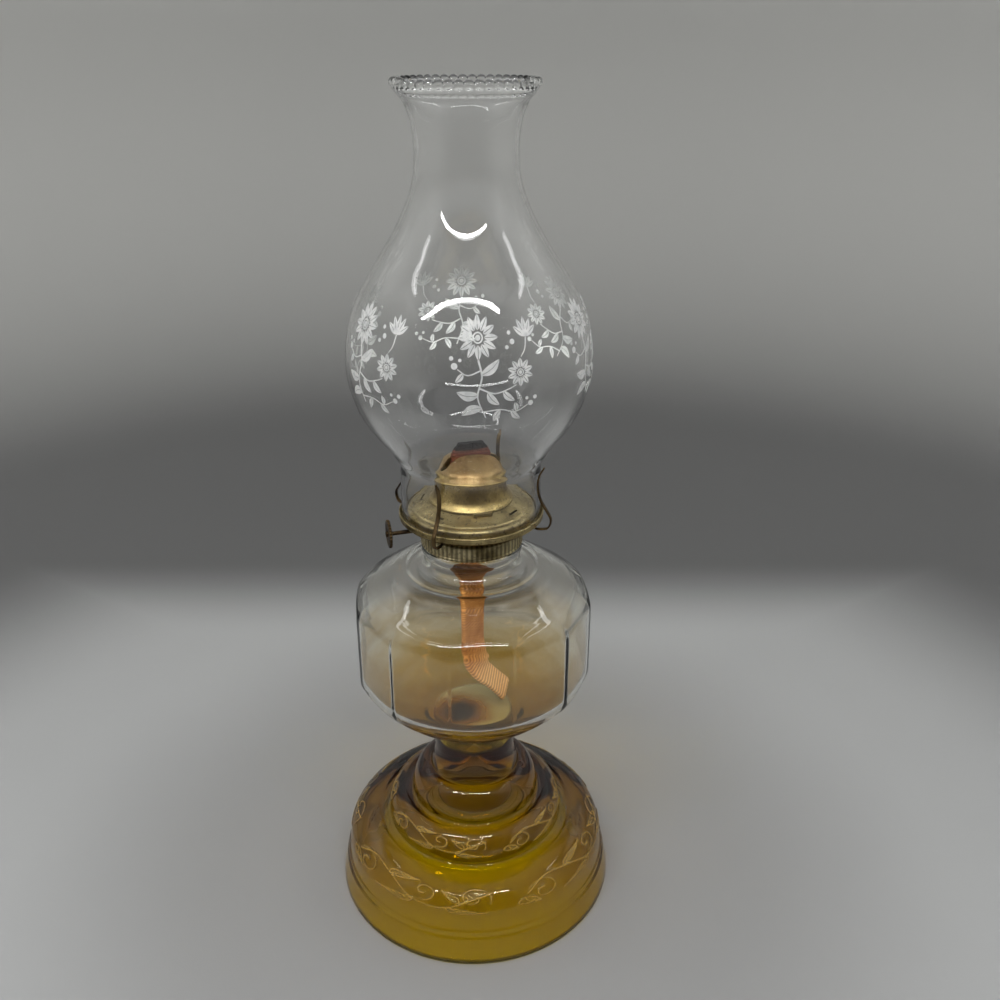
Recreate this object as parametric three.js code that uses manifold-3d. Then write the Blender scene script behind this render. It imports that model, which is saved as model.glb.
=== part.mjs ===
import * as THREE from "three";
import { mergeVertices } from "three/addons/utils/BufferGeometryUtils.js";
import Module from "manifold-3d";

// Kerosene table lamp with a pressed glass foot and font, a flat wick burner and a glass chimney.
// Millimetres, +Z up, origin at the middle of the foot's rest ring. The wick raiser's shaft runs along X.

// Fits
const gap = 0.3;
const runningGap = 0.25;
const overrun = 2;
const weldDistance = 0.0001;

// Foot: one amber glass pressing, hollow from below, with three domed tiers under a short neck
const footRadius = 82.6;
const footHeight = 112;
const footRestRingWidth = 6;
const footNeckRadius = 23.4;
const footCrownRadius = 6.5;
const footSteps = 36;
// Each tier: outer radius and low height, inner radius and high height, as shares of footRadius and footHeight
const footTierShares = [
  [0.936, 0.244, 0.63, 0.405],
  [0.61, 0.393, 0.485, 0.55],
  [0.458, 0.54, 0.31, 0.722],
];
const footRimShares = [[1, 0], [1, 0.027], [0.967, 0.15], [0.955, 0.165], [0.945, 0.18]];
const footHollowShares = [[0.9, 0.125], [0.86, 0.21], [0.56, 0.35], [0.41, 0.5], [0.24, 0.65]];
const footCrownShares = [0.72, 0.795];
const tierSteps = 4;

// Font: clear glass vessel, round inside, pressed with flat panels outside, on a peg in the foot's neck
const fontRadius = 67.5;
const panelCount = 12;
const panelSteps = 3;
const panelTurn = THREE.MathUtils.degToRad(4.8);
const fontRimRise = 36.2;
const panelHeight = 44;
const shoulderHeight = 20.5;
const fontWall = 3.5;
const fontFloor = 5.7;
const fontWellRadius = 24;
const pegRadius = 17;
const pegLength = 16;
const creaseRadius = 36.5;
const neckRadius = 25.3;
const neckBoreRadius = 21.5;
const neckHeight = 8.5;
const beadRadius = 27.3;
const beadHeight = 6.2;
// Underside and shoulder: radius between their two ends, height between their two ends
const undersideShares = [[0.15, 0.1], [0.49, 0.37], [0.83, 0.75], [0.966, 0.93]];
const shoulderShares = [[0.975, 0.08], [0.93, 0.16], [0.865, 0.27], [0.69, 0.46], [0.49, 0.66], [0.29, 0.85]];
const bowlShares = [[0.16, 0.11], [0.48, 0.35], [0.88, 0.78]];
const innerShoulderShares = [[0.93, 0.22], [0.56, 0.6], [0.28, 0.8], [0.06, 0.93]];

// Font collar: ribbed brass screw cap on the glass mouth, with the socket that takes the burner
const collarRadius = 27.7;
const collarHeight = 9;
const collarWall = 0.9;
const ribCount = 64;
const ribDepth = 0.6;
const socketDepth = 9;
const gasketThickness = 1;

// Burner: spun sheet brass
const sheet = 0.8;
const burnerSteps = 36;
const burnerThreadRadius = 16;
const burnerThreadLength = 11;
const flangeRadius = 19.5;
const bowlRise = 6.1;
const bowlRimWidth = 4;
const galleryRadius = 38.8;
const lipHeight = 2.8;
const channelWidth = 3.6;
const deckEdgeRise = 4;
const deckCrownRise = 6.3;
const deckCrownRadius = 29;
const coneSeatRise = 9.1;
const coneSeatWidth = 3;
const lugLength = 10;
const lugDepth = 1.6;
const lugHeight = 1.5;

// Deflector cone: concave skirt, rolled crease and a dome with the wick's slot
const coneRadius = 22.5;
const creaseBeadRadius = 18.5;
const coneHeight = 24.1;
const coneSheet = 0.6;
const coneSteps = 28;
const wickSlotLength = 32;
const wickSlotWidth = 4.5;
const skirtShares = [[0.99, 0.035], [0.93, 0.09], [0.87, 0.18], [0.83, 0.32], [0.81, 0.48], [0.8, 0.59]];
const creaseShares = [0.62, 0.655];
const domeShares = [[0.95, 0.69], [0.875, 0.78], [0.7, 0.885], [0.43, 0.965]];

// Wick, its tube, the vent beside it and the pierced plate that shares out the air
const wickWidth = 22;
const wickThickness = 3;
const wickRise = 6;
const wickClearance = 0.6;
const tailHeading = THREE.MathUtils.degToRad(-16);
const tailTurn = THREE.MathUtils.degToRad(45);
const tailEndShare = 0.35;
// Charred tip: width over wickWidth, rise over wickRise
const wickTipShares = [[0.6, 1], [0.86, 0.6], [0.93, 0]];
// Tail: reach over the font's well, drop over the tail's whole drop, turn over tailTurn, width over wickWidth
const wickTailShares = [
  [0, 0.07, 0.18, 1], [0, 0.15, 0.67, 1], [0, 0.23, 0.96, 1], [0, 0.5, 1, 1], [0, 0.73, 1, 1],
  [0.07, 0.8, 0.98, 1], [0.2, 0.86, 0.93, 1], [0.42, 0.92, 0.89, 1], [0.62, 0.97, 0.84, 1], [0.72, 1, 0.84, 0.97],
];
const tubeSheet = 0.6;
const tubeTopDrop = 10;
const tubeLength = 40;
const ventRadius = 1.6;
const ventBore = 1;
const ventLength = 23;
const ventOffset = 5.6;
const plateRise = 8;
const plateSheet = 0.7;
const plateHoleRadius = 1.2;
const plateHoleSides = 6;
const plateRings = [{ count: 10, share: 0.58 }, { count: 14, share: 0.8 }];

// Wick raiser: a shaft with three toothed wheels, turned by a thumb wheel
const shaftRadius = 1.1;
const shaftRise = 3.1;
const shaftOverhang = 0.6;
const wheelRadius = 4.2;
const wheelToothDepth = 0.7;
const wheelTeeth = 10;
const wheelThickness = 1.2;
const wheelSpacing = 7;
const wheelCount = 3;
const bearingWall = 0.6;
const sleeveStart = 17;
const sleeveLength = 15;
const bushStart = 9.5;
const bushLength = 4;
const thumbWheelDistance = 46;
const thumbWheelRadius = 7.5;
const thumbWheelThickness = 1.4;
const thumbWheelTeeth = 28;
const thumbWheelToothDepth = 0.4;
const nubRadius = 1.7;
const nubLength = 1.8;

// Chimney prongs: four spring strips, hooked under the bowl's rim
const prongCount = 4;
const prongTurn = THREE.MathUtils.degToRad(6);
const prongWidth = 2.4;
const prongThickness = 1.1;
const prongReach = 6.6;
const prongHeight = 35;
const prongTipFlare = 3.2;
const prongRoot = 2.2;
const prongSteps = 18;
// Route up the strip: reach from the chimney's wall to the loop's outside, rise over prongHeight
const prongRouteShares = [[0.82, 0.047], [1, 0.19], [0.7, 0.31], [0.22, 0.47], [0, 0.63], [0, 0.77]];
const prongTipShares = [[0.33, 0.89], [1, 1]];

// Chimney: clear blown glass with a beaded rim
const fitterRadius = 37.2;
const chimneyHeight = 212.8;
const chimneyBulbRadius = 61.7;
const chimneyWall = 2;
const fitterHeight = 31;
const fitterTaper = 0.4;
const rimBeadCount = 46;
const rimBeadRadius = 2.3;
const rimBeadSides = 6;
const rimBeadRings = 3;
// Radius over chimneyBulbRadius, and height over what stands above the fitter
const chimneyShares = [
  [0.702, 0.055], [0.848, 0.121], [0.943, 0.187], [1, 0.27], [0.989, 0.352], [0.934, 0.435], [0.809, 0.517],
  [0.65, 0.6], [0.512, 0.682], [0.418, 0.765], [0.396, 0.837], [0.415, 0.905], [0.464, 0.957], [0.54, 0.991],
];

// Levels, from the foot up
const fontSeat = footHeight + gap;
const fontRim = fontSeat + fontRimRise;
const panelTop = fontRim + panelHeight;
const shoulderTop = panelTop + shoulderHeight;
const neckTop = shoulderTop + neckHeight;
const beadTop = neckTop + beadHeight;
const collarBottom = beadTop + gap;
const collarTop = collarBottom + collarHeight;
const gasketTop = collarTop - collarWall - gap;
const mouthTop = gasketTop - gasketThickness - gap;
const mouthRadius = collarRadius - ribDepth - collarWall - gap;
const burnerSeat = collarTop + gap;
const bowlTop = burnerSeat + bowlRise;
const galleryBottom = bowlTop + gap;
const ledge = galleryBottom + sheet;
const channelInnerRadius = galleryRadius - sheet - channelWidth;
const coneSeat = ledge + coneSeatRise;
const coneBottom = coneSeat + gap;
const coneTop = coneBottom + coneHeight;
const chimneyBottom = ledge + gap;
const tubeTop = coneTop - tubeTopDrop;
const tubeHalfDepth = wickThickness / 2 + wickClearance + tubeSheet;
const plateBottom = burnerSeat + plateRise;
const shaftLevel = burnerSeat + shaftRise;
const shaftOffset = wickThickness / 2 + gap + wheelRadius;

const wasm = await Module();
wasm.setup();

// A closed three.js geometry as a solid for cutting and joining
function solidOf(geometry) {
  const bare = geometry.clone();
  bare.deleteAttribute("normal");
  bare.deleteAttribute("uv");
  const welded = mergeVertices(bare, weldDistance);
  const corners = Array.from(welded.index.array);
  const triangles = [];
  for (let i = 0; i < corners.length; i += 3) {
    const [a, b, c] = corners.slice(i, i + 3);
    if (a !== b && b !== c && c !== a) triangles.push(a, b, c);
  }
  return new wasm.Manifold(new wasm.Mesh({
    numProp: 3,
    vertProperties: new Float32Array(welded.attributes.position.array),
    triVerts: new Uint32Array(triangles),
  }));
}

function geometryOf(solid) {
  const mesh = solid.getMesh();
  const geometry = new THREE.BufferGeometry();
  geometry.setAttribute("position", new THREE.BufferAttribute(new Float32Array(mesh.vertProperties), 3));
  geometry.setIndex(new THREE.BufferAttribute(new Uint32Array(mesh.triVerts), 1));
  geometry.computeVertexNormals();
  return geometry;
}

function join(first, ...others) {
  return geometryOf(others.reduce((solid, other) => solid.add(solidOf(other)), solidOf(first)));
}

function cut(first, ...others) {
  return geometryOf(others.reduce((solid, other) => solid.subtract(solidOf(other)), solidOf(first)));
}

// Spins [radius, height] corners about Z. Angle 0 faces -Y and turns towards +X.
// A profile off the axis is a ring, and is closed on itself.
function turned(corners, steps, turn = 0) {
  const onAxis = corners[0][0] === 0;
  const ring = onAxis ? corners : [...corners, corners[0]];
  let area = 0;
  corners.forEach(([r, z], i) => {
    const [nextR, nextZ] = corners[(i + 1) % corners.length];
    area += r * nextZ - nextR * z;
  });
  const profile = area > 0 ? ring : [...ring].reverse();
  const outline = profile.map(([r, z]) => new THREE.Vector2(r, z));
  return new THREE.LatheGeometry(outline, steps, turn).rotateX(Math.PI / 2);
}

function tube(outerRadius, innerRadius, bottom, top, steps) {
  return turned([[innerRadius, bottom], [outerRadius, bottom], [outerRadius, top], [innerRadius, top]], steps);
}

function rod(radius, bottom, top, steps) {
  return turned([[0, bottom], [radius, bottom], [radius, top], [0, top]], steps);
}

// Lays a piece that was made along +Z out along -X, at the shaft's place
function alongShaft(geometry) {
  return geometry.rotateY(-Math.PI / 2).translate(0, -shaftOffset, shaftLevel);
}

function extruded(shape, bottom, height) {
  return new THREE.ExtrudeGeometry(shape, { depth: height, bevelEnabled: false }).translate(0, 0, bottom);
}

function circleHole(x, y, radius, sides) {
  const hole = new THREE.Path();
  for (let i = 0; i < sides; i++) {
    const angle = (i / sides) * 2 * Math.PI;
    const place = [x + radius * Math.cos(angle), y + radius * Math.sin(angle)];
    if (i === 0) hole.moveTo(...place);
    else hole.lineTo(...place);
  }
  return hole;
}

// A flat strip's section: a long rectangle with bevelled ends
function stadium(length, depth, Kind = THREE.Shape) {
  const x = length / 2;
  const y = depth / 2;
  const bevel = depth / 4;
  const corners = [
    [-x, y - bevel], [-x, bevel - y], [bevel - x, -y], [x - bevel, -y],
    [x, bevel - y], [x, y - bevel], [x - bevel, y], [bevel - x, y],
  ];
  return new Kind(corners.map(([a, b]) => new THREE.Vector2(a, b)));
}

function toothed(teeth, radius, depth) {
  const corners = [];
  const pitch = (2 * Math.PI) / teeth;
  const quarter = pitch / 4;
  for (let i = 0; i < teeth; i++) {
    for (const [turn, r] of [[0, radius], [quarter, radius], [2 * quarter, radius - depth], [3 * quarter, radius - depth]]) {
      const angle = i * pitch + turn;
      corners.push(new THREE.Vector2(r * Math.cos(angle), r * Math.sin(angle)));
    }
  }
  return new THREE.Shape(corners);
}

// Joins rings of points, all with the same count, into one closed body with flat ends
function lofted(rings) {
  const count = rings[0].length;
  const places = rings.flat().flatMap((p) => [p.x, p.y, p.z]);
  const triangles = [];
  for (let k = 0; k + 1 < rings.length; k++) {
    for (let i = 0; i < count; i++) {
      const a = k * count + i;
      const b = k * count + ((i + 1) % count);
      triangles.push(a, b, b + count, a, b + count, a + count);
    }
  }
  const last = (rings.length - 1) * count;
  for (let i = 1; i + 1 < count; i++) {
    triangles.push(0, i + 1, i, last, last + i, last + i + 1);
  }
  const geometry = new THREE.BufferGeometry();
  geometry.setAttribute("position", new THREE.Float32BufferAttribute(places, 3));
  geometry.setIndex(triangles);
  geometry.computeVertexNormals();
  return geometry;
}

// Places share pairs between two corners of an outline
function between([r0, z0], [r1, z1], shares) {
  return shares.map(([r, z]) => [r0 + (r1 - r0) * r, z0 + (z1 - z0) * z]);
}

function footGeometry() {
  const scaled = ([r, z]) => [r * footRadius, z * footHeight];
  const corners = footRimShares.map(scaled);
  for (const [outer, low, inner, high] of footTierShares) {
    for (let i = 0; i <= tierSteps; i++) {
      const angle = (i / tierSteps) * (Math.PI / 2);
      const r = inner + (outer - inner) * Math.cos(angle);
      const z = low + (high - low) * Math.sin(angle);
      corners.push(scaled([r, z]));
    }
  }
  const [crownEdge, crownTop] = footCrownShares.map((share) => share * footHeight);
  const socketFloor = footHeight - pegLength;
  corners.push(
    [footNeckRadius, crownTop],
    [footNeckRadius, footHeight],
    [pegRadius + gap, footHeight],
    [pegRadius + gap, socketFloor],
    [0, socketFloor],
  );
  const hollow = footHollowShares.map(scaled).reverse();
  const inside = [[0, crownTop], [footCrownRadius, crownEdge], ...hollow, [footRadius - footRestRingWidth, 0]];
  return turned([...inside, ...corners], footSteps);
}

function fontGeometry() {
  const innerRadius = fontRadius * Math.cos(Math.PI / panelCount) - fontWall;
  const fontFloorLevel = fontSeat + fontFloor;
  const innerTop = shoulderTop - fontWall;
  const outside = [
    [0, fontSeat - pegLength],
    [pegRadius, fontSeat - pegLength],
    [pegRadius, fontSeat],
    [footNeckRadius, fontSeat],
    ...between([footNeckRadius, fontSeat], [fontRadius, fontRim], undersideShares),
    [fontRadius, fontRim],
    [fontRadius, panelTop],
    ...between([creaseRadius, panelTop], [fontRadius, shoulderTop], shoulderShares),
    [creaseRadius, shoulderTop],
    [neckRadius + fontWall, shoulderTop],
    [neckRadius, shoulderTop + fontWall],
    [neckRadius, neckTop],
    [beadRadius, neckTop + fontWall / 2],
    [beadRadius, beadTop],
    [mouthRadius, beadTop],
    [mouthRadius, mouthTop],
  ];
  const inside = [
    [neckBoreRadius, mouthTop],
    [neckBoreRadius, innerTop],
    ...between([neckBoreRadius, panelTop], [innerRadius, innerTop], innerShoulderShares).reverse(),
    [innerRadius, panelTop],
    [innerRadius, fontRim + fontWall],
    ...between([fontWellRadius, fontFloorLevel], [innerRadius, fontRim + fontWall], bowlShares).reverse(),
    [fontWellRadius, fontFloorLevel],
    [0, fontFloorLevel],
  ];
  const geometry = turned([...outside, ...inside], panelCount * panelSteps, panelTurn);
  pressPanels(geometry);
  return geometry;
}

// Brings every point that lies outside the ring of flat panels back onto its panel
function pressPanels(geometry) {
  const panel = (2 * Math.PI) / panelCount;
  const flat = fontRadius * Math.cos(panel / 2);
  const place = geometry.attributes.position;
  for (let i = 0; i < place.count; i++) {
    const x = place.getX(i);
    const y = place.getY(i);
    const radius = Math.hypot(x, y);
    const turn = Math.atan2(x, -y) - panelTurn;
    const fromMiddle = turn - (Math.floor(turn / panel) + 0.5) * panel;
    const limit = flat / Math.cos(fromMiddle);
    if (radius > limit) place.setXY(i, (x * limit) / radius, (y * limit) / radius);
  }
}

function collarGeometry() {
  const ribbed = extruded(toothed(ribCount, collarRadius, ribDepth), collarBottom, collarHeight);
  const capInside = collarTop - collarWall;
  const boreRadius = mouthRadius + gap;
  const socketRadius = burnerThreadRadius + gap;
  const inside = rod(boreRadius, collarBottom - overrun, capInside, burnerSteps);
  const socket = tube(socketRadius + collarWall, socketRadius, collarTop - socketDepth, collarTop, burnerSteps);
  const hole = rod(socketRadius, collarTop - socketDepth - overrun, collarTop + overrun, burnerSteps);
  return cut(join(cut(ribbed, inside), socket), hole);
}

function gasketGeometry() {
  return tube(mouthRadius, neckBoreRadius, gasketTop - gasketThickness, gasketTop, burnerSteps);
}

// Threaded tube, flange and bowl in one drawn shell, pierced for the shaft's sleeve
function burnerBodyGeometry() {
  const threadBottom = burnerSeat - burnerThreadLength;
  const threadBore = burnerThreadRadius - sheet;
  const rimOuter = channelInnerRadius - sheet + bowlRimWidth;
  const rimInner = channelInnerRadius - sheet;
  const shell = turned([
    [threadBore, threadBottom],
    [burnerThreadRadius, threadBottom],
    [burnerThreadRadius, burnerSeat],
    [flangeRadius, burnerSeat],
    [rimInner, bowlTop - sheet],
    [rimOuter, bowlTop - sheet],
    [rimOuter, bowlTop],
    [rimInner - sheet, bowlTop],
    [flangeRadius - sheet, burnerSeat + sheet],
    [threadBore, burnerSeat + sheet],
  ], burnerSteps);
  const holeRadius = shaftRadius + runningGap + bearingWall + gap;
  const hole = rod(holeRadius, sleeveStart - gap, sleeveStart + sleeveLength + overrun, 2 * plateHoleSides);
  return cut(shell, alongShaft(hole));
}

function galleryGeometry() {
  const inner = channelInnerRadius;
  const deckEdge = ledge + deckEdgeRise;
  const deckCrown = ledge + deckCrownRise;
  const seatOuter = coneRadius;
  const seatInner = coneRadius - coneSeatWidth;
  const shell = turned([
    [galleryRadius, galleryBottom],
    [galleryRadius, ledge + lipHeight],
    [galleryRadius - sheet, ledge + lipHeight],
    [galleryRadius - sheet, ledge],
    [inner, ledge],
    [inner, deckEdge],
    [inner - sheet, deckEdge + sheet],
    [deckCrownRadius, deckCrown],
    [seatOuter, coneSeat],
    [seatInner, coneSeat],
    [seatInner, coneSeat - sheet],
    [seatOuter, coneSeat - sheet],
    [deckCrownRadius, deckCrown - sheet],
    [inner - sheet, deckEdge - sheet],
    [inner - sheet, galleryBottom],
  ], burnerSteps);
  const lug = new THREE.BoxGeometry(lugLength, lugDepth, lugHeight + sheet);
  const lugPlace = coneRadius + gap + lugDepth / 2;
  const lugLevel = coneSeat + (lugHeight - sheet) / 2;
  const rearLug = lug.clone().translate(0, lugPlace, lugLevel);
  return join(shell, lug.translate(0, -lugPlace, lugLevel), rearLug);
}

function coneGeometry() {
  const at = ([r, z]) => [r * coneRadius, coneBottom + z * coneHeight];
  const atDome = ([r, z]) => [r * creaseBeadRadius, coneBottom + z * coneHeight];
  const inward = ([r, z]) => [r - coneSheet, z];
  const downward = ([r, z]) => [r, z - coneSheet];
  const [creaseLow, creaseHigh] = creaseShares.map((share) => coneBottom + share * coneHeight);
  const skirt = [[coneRadius, coneBottom], ...skirtShares.map(at)];
  const crease = [[creaseBeadRadius, creaseLow], [creaseBeadRadius, creaseHigh]];
  const dome = domeShares.map(atDome);
  const shell = turned([
    [0, coneTop - coneSheet],
    ...dome.map(inward).map(downward).reverse(),
    ...crease.map(inward).reverse(),
    ...skirt.map(inward).reverse(),
    ...skirt,
    ...crease,
    ...dome,
    [0, coneTop],
  ], coneSteps);
  const slotDepth = coneTop - creaseHigh;
  const slot = new THREE.BoxGeometry(wickSlotLength, wickSlotWidth, 2 * slotDepth).translate(0, 0, coneTop);
  return cut(shell, slot);
}

function wickTubeGeometry() {
  const length = wickWidth + 2 * wickClearance;
  const depth = wickThickness + 2 * wickClearance;
  const section = stadium(length + 2 * tubeSheet, depth + 2 * tubeSheet);
  section.holes.push(stadium(length, depth, THREE.Path));
  const windowHeight = 2 * (wheelRadius - wheelToothDepth);
  const windows = wheelPlaces().map((x) => new THREE.BoxGeometry(wheelThickness + 2 * gap, wheelRadius, windowHeight)
    .translate(x, -tubeHalfDepth, shaftLevel));
  return cut(extruded(section, tubeTop - tubeLength, tubeLength), ...windows);
}

function airPlateGeometry() {
  const radius = channelInnerRadius - sheet - gap;
  const plate = new THREE.Shape(circleHole(0, 0, radius, burnerSteps).getPoints());
  const hole = stadium(wickWidth + 2 * (wickClearance + tubeSheet + gap), 2 * (tubeHalfDepth + gap), THREE.Path);
  plate.holes.push(hole, circleHole(0, ventOffset, ventRadius + gap, 2 * plateHoleSides));
  for (const { count, share } of plateRings) {
    for (let i = 0; i < count; i++) {
      const angle = ((i + 0.5) / count) * 2 * Math.PI;
      const place = [share * radius * Math.cos(angle), share * radius * Math.sin(angle)];
      plate.holes.push(circleHole(...place, plateHoleRadius, plateHoleSides));
    }
  }
  return extruded(plate, plateBottom, plateSheet);
}

// The woven strip: upright in the tube, charred narrow at the top, its tail twisting down into the font
function wickGeometry() {
  const tailStart = neckTop;
  const tailEnd = fontSeat + fontFloor + tailEndShare * fontRimRise;
  const stations = [
    ...wickTipShares.map(([width, rise]) => ({ reach: 0, level: coneTop + rise * wickRise, turn: 0, width })),
    { reach: 0, level: coneTop - wickThickness, turn: 0, width: 1 },
    { reach: 0, level: tailStart, turn: 0, width: 1 },
    ...wickTailShares.map(([reach, drop, turn, width]) => ({
      reach: reach * fontWellRadius,
      level: tailStart - drop * (tailStart - tailEnd),
      turn: turn * tailTurn,
      width,
    })),
  ];
  const heading = new THREE.Vector3(Math.cos(tailHeading), Math.sin(tailHeading), 0);
  const rings = stations.map((station, i) => {
    const before = stations[Math.max(i - 1, 0)];
    const after = stations[Math.min(i + 1, stations.length - 1)];
    const along = heading.clone().multiplyScalar(after.reach - before.reach);
    along.z = after.level - before.level;
    along.normalize();
    const across = new THREE.Vector3(Math.cos(station.turn), Math.sin(station.turn), 0);
    across.addScaledVector(along, -across.dot(along)).normalize();
    const through = new THREE.Vector3().crossVectors(along, across);
    const centre = heading.clone().multiplyScalar(station.reach).setZ(station.level);
    return stadium(wickWidth * station.width, wickThickness).getPoints()
      .map((p) => centre.clone().addScaledVector(across, p.x).addScaledVector(through, p.y));
  });
  return lofted(rings);
}

function wheelPlaces() {
  return Array.from({ length: wheelCount }, (_, i) => (i - (wheelCount - 1) / 2) * wheelSpacing);
}

function spurWheelGeometry(place) {
  const wheel = toothed(wheelTeeth, wheelRadius, wheelToothDepth);
  wheel.holes.push(circleHole(0, 0, shaftRadius + runningGap, 2 * plateHoleSides));
  return alongShaft(extruded(wheel, -place - wheelThickness / 2, wheelThickness));
}

function shaftGeometry() {
  const end = bushStart + bushLength + shaftOverhang;
  return alongShaft(rod(shaftRadius, -end, thumbWheelDistance + nubLength / 2, 2 * plateHoleSides));
}

function bearing(start, length) {
  const bore = shaftRadius + runningGap;
  return alongShaft(tube(bore + bearingWall, bore, start, start + length, 2 * plateHoleSides));
}

function thumbWheelGeometry() {
  const disc = toothed(thumbWheelTeeth, thumbWheelRadius, thumbWheelToothDepth);
  const start = thumbWheelDistance - thumbWheelThickness / 2;
  const hubStart = thumbWheelDistance - nubLength;
  const body = extruded(disc, start, thumbWheelThickness);
  const nub = rod(nubRadius, hubStart, thumbWheelDistance + nubLength, 2 * plateHoleSides);
  const bore = rod(shaftRadius + runningGap, hubStart - overrun, thumbWheelDistance + nubLength / 2 + gap,
    2 * plateHoleSides);
  return alongShaft(cut(join(body, nub), bore));
}

// A strip bent in its own plane: under the rim, out in a loop, back to the glass and out again at the tip
function prongGeometry(turn) {
  const half = prongThickness / 2;
  const rootLevel = bowlTop - sheet - gap - half;
  const rimOuter = channelInnerRadius - sheet + bowlRimWidth;
  const touch = fitterRadius + gap + half;
  const outside = galleryRadius + prongReach;
  const top = rootLevel + prongHeight;
  const route = new THREE.SplineCurve([
    [rimOuter - prongRoot, rootLevel],
    [galleryRadius + half, rootLevel],
    ...between([touch, rootLevel], [outside, top], prongRouteShares),
    ...between([touch, rootLevel], [touch + prongTipFlare, top], prongTipShares),
  ].map(([r, z]) => new THREE.Vector2(r, z)));
  const left = [];
  const right = [];
  for (let i = 0; i <= prongSteps; i++) {
    const place = route.getPoint(i / prongSteps);
    const along = route.getTangent(i / prongSteps);
    const across = new THREE.Vector2(-along.y, along.x).multiplyScalar(half);
    left.push(place.clone().add(across));
    right.unshift(place.clone().sub(across));
  }
  const strip = extruded(new THREE.Shape([...left, ...right]), -prongWidth / 2, prongWidth);
  return strip.rotateX(Math.PI / 2).rotateZ(turn);
}

function chimneyGeometry() {
  const shoulder = chimneyBottom + fitterHeight;
  const rimTop = chimneyBottom + chimneyHeight;
  const outside = [
    [fitterRadius, chimneyBottom],
    [fitterRadius - fitterTaper, shoulder],
    ...chimneyShares.map(([r, z]) => [r * chimneyBulbRadius, shoulder + z * (rimTop - shoulder)]),
  ];
  const [rimRadius] = outside[outside.length - 1];
  outside.push([rimRadius, rimTop]);
  const inside = outside.map(([r, z]) => [r - chimneyWall, z]).reverse();
  const beads = Array.from({ length: rimBeadCount }, (_, i) => {
    const angle = ((i + 0.5) / rimBeadCount) * 2 * Math.PI;
    const ring = rimRadius - chimneyWall / 2;
    return new THREE.SphereGeometry(rimBeadRadius, rimBeadSides, rimBeadRings)
      .rotateX(Math.PI / 2)
      .rotateZ(angle)
      .translate(ring * Math.cos(angle), ring * Math.sin(angle), rimTop);
  });
  return join(turned([...outside, ...inside], rimBeadCount), ...beads);
}

// Finishes
function glass(color) {
  return new THREE.MeshStandardMaterial({ color, roughness: 0.06, metalness: 0 });
}

function brass(color, roughness) {
  return new THREE.MeshStandardMaterial({ color, roughness, metalness: 1 });
}

const lamp = new THREE.Group();

function place(name, geometry, material) {
  const mesh = new THREE.Mesh(geometry, material);
  mesh.name = name;
  lamp.add(mesh);
}

place("foot", footGeometry(), glass(0xc79a22));
place("font", fontGeometry(), glass(0xdfe6dc));
place("font_collar", collarGeometry(), brass(0x8c7a4e, 0.4));
place("collar_gasket", gasketGeometry(), new THREE.MeshStandardMaterial({ color: 0x6b5233, roughness: 0.9 }));
place("burner_body", burnerBodyGeometry(), brass(0x8a7440, 0.42));
place("gallery", galleryGeometry(), brass(0xa38c52, 0.36));
place("air_plate", airPlateGeometry(), brass(0x9a8248, 0.45));
place("deflector_cone", coneGeometry(), brass(0xb0935a, 0.34));
place("wick_tube", wickTubeGeometry(), brass(0x94804a, 0.45));
const ventBottom = tubeTop - tubeLength;
place("vent_tube", tube(ventRadius, ventBore, ventBottom, ventBottom + ventLength, 2 * plateHoleSides)
  .translate(0, ventOffset, 0), brass(0x94804a, 0.45));
place("shaft_sleeve", bearing(sleeveStart, sleeveLength), brass(0x7d6a3c, 0.45));
place("shaft_bush", bearing(-bushStart - bushLength, bushLength), brass(0x7d6a3c, 0.45));
place("wick_shaft", shaftGeometry(), brass(0x4a3a26, 0.5));
wheelPlaces().forEach((x, i) => place(`spur_wheel_${i + 1}`, spurWheelGeometry(x), brass(0x6b5832, 0.5)));
place("thumb_wheel", thumbWheelGeometry(), brass(0x4a3a26, 0.5));
place("wick", wickGeometry(), new THREE.MeshStandardMaterial({ color: 0xa8581f, roughness: 0.95 }));
["rear_right", "rear_left", "front_left", "front_right"].forEach((side, i) => {
  const turn = ((i + 0.5) / prongCount) * 2 * Math.PI + prongTurn;
  place(`prong_${side}`, prongGeometry(turn), brass(0x3d2c1c, 0.5));
});
place("chimney", chimneyGeometry(), glass(0xe8eeea));

export default lamp;
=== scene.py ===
import math

import bpy
import numpy as np
from mathutils import Matrix, Vector, noise


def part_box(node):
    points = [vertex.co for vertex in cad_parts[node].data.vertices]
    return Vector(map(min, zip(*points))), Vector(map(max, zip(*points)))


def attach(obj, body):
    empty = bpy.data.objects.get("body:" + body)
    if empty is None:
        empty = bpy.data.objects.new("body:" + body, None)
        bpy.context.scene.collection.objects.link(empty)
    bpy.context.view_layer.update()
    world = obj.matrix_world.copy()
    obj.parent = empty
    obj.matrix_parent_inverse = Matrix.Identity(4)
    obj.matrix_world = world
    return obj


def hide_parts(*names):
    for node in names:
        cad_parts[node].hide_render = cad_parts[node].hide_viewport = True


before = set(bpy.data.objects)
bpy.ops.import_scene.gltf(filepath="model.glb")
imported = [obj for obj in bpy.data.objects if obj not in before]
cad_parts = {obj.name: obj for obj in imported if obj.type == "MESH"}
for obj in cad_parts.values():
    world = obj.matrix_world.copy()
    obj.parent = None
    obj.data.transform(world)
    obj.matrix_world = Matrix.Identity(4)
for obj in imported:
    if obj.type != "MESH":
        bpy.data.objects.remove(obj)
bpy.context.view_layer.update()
MM = 0.001

# Camera: a phone held above the rim of the chimney and to the left of the lamp's own front, tipped down.
# Its place was worked out from the ellipses of the round pieces.
camera_place = Vector((-118.6, -469.5, 475)) * MM
camera_heading = Vector((0.2756, 0.9613))
camera_pitch = math.radians(24.8)
camera_lens = 35.93

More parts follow.
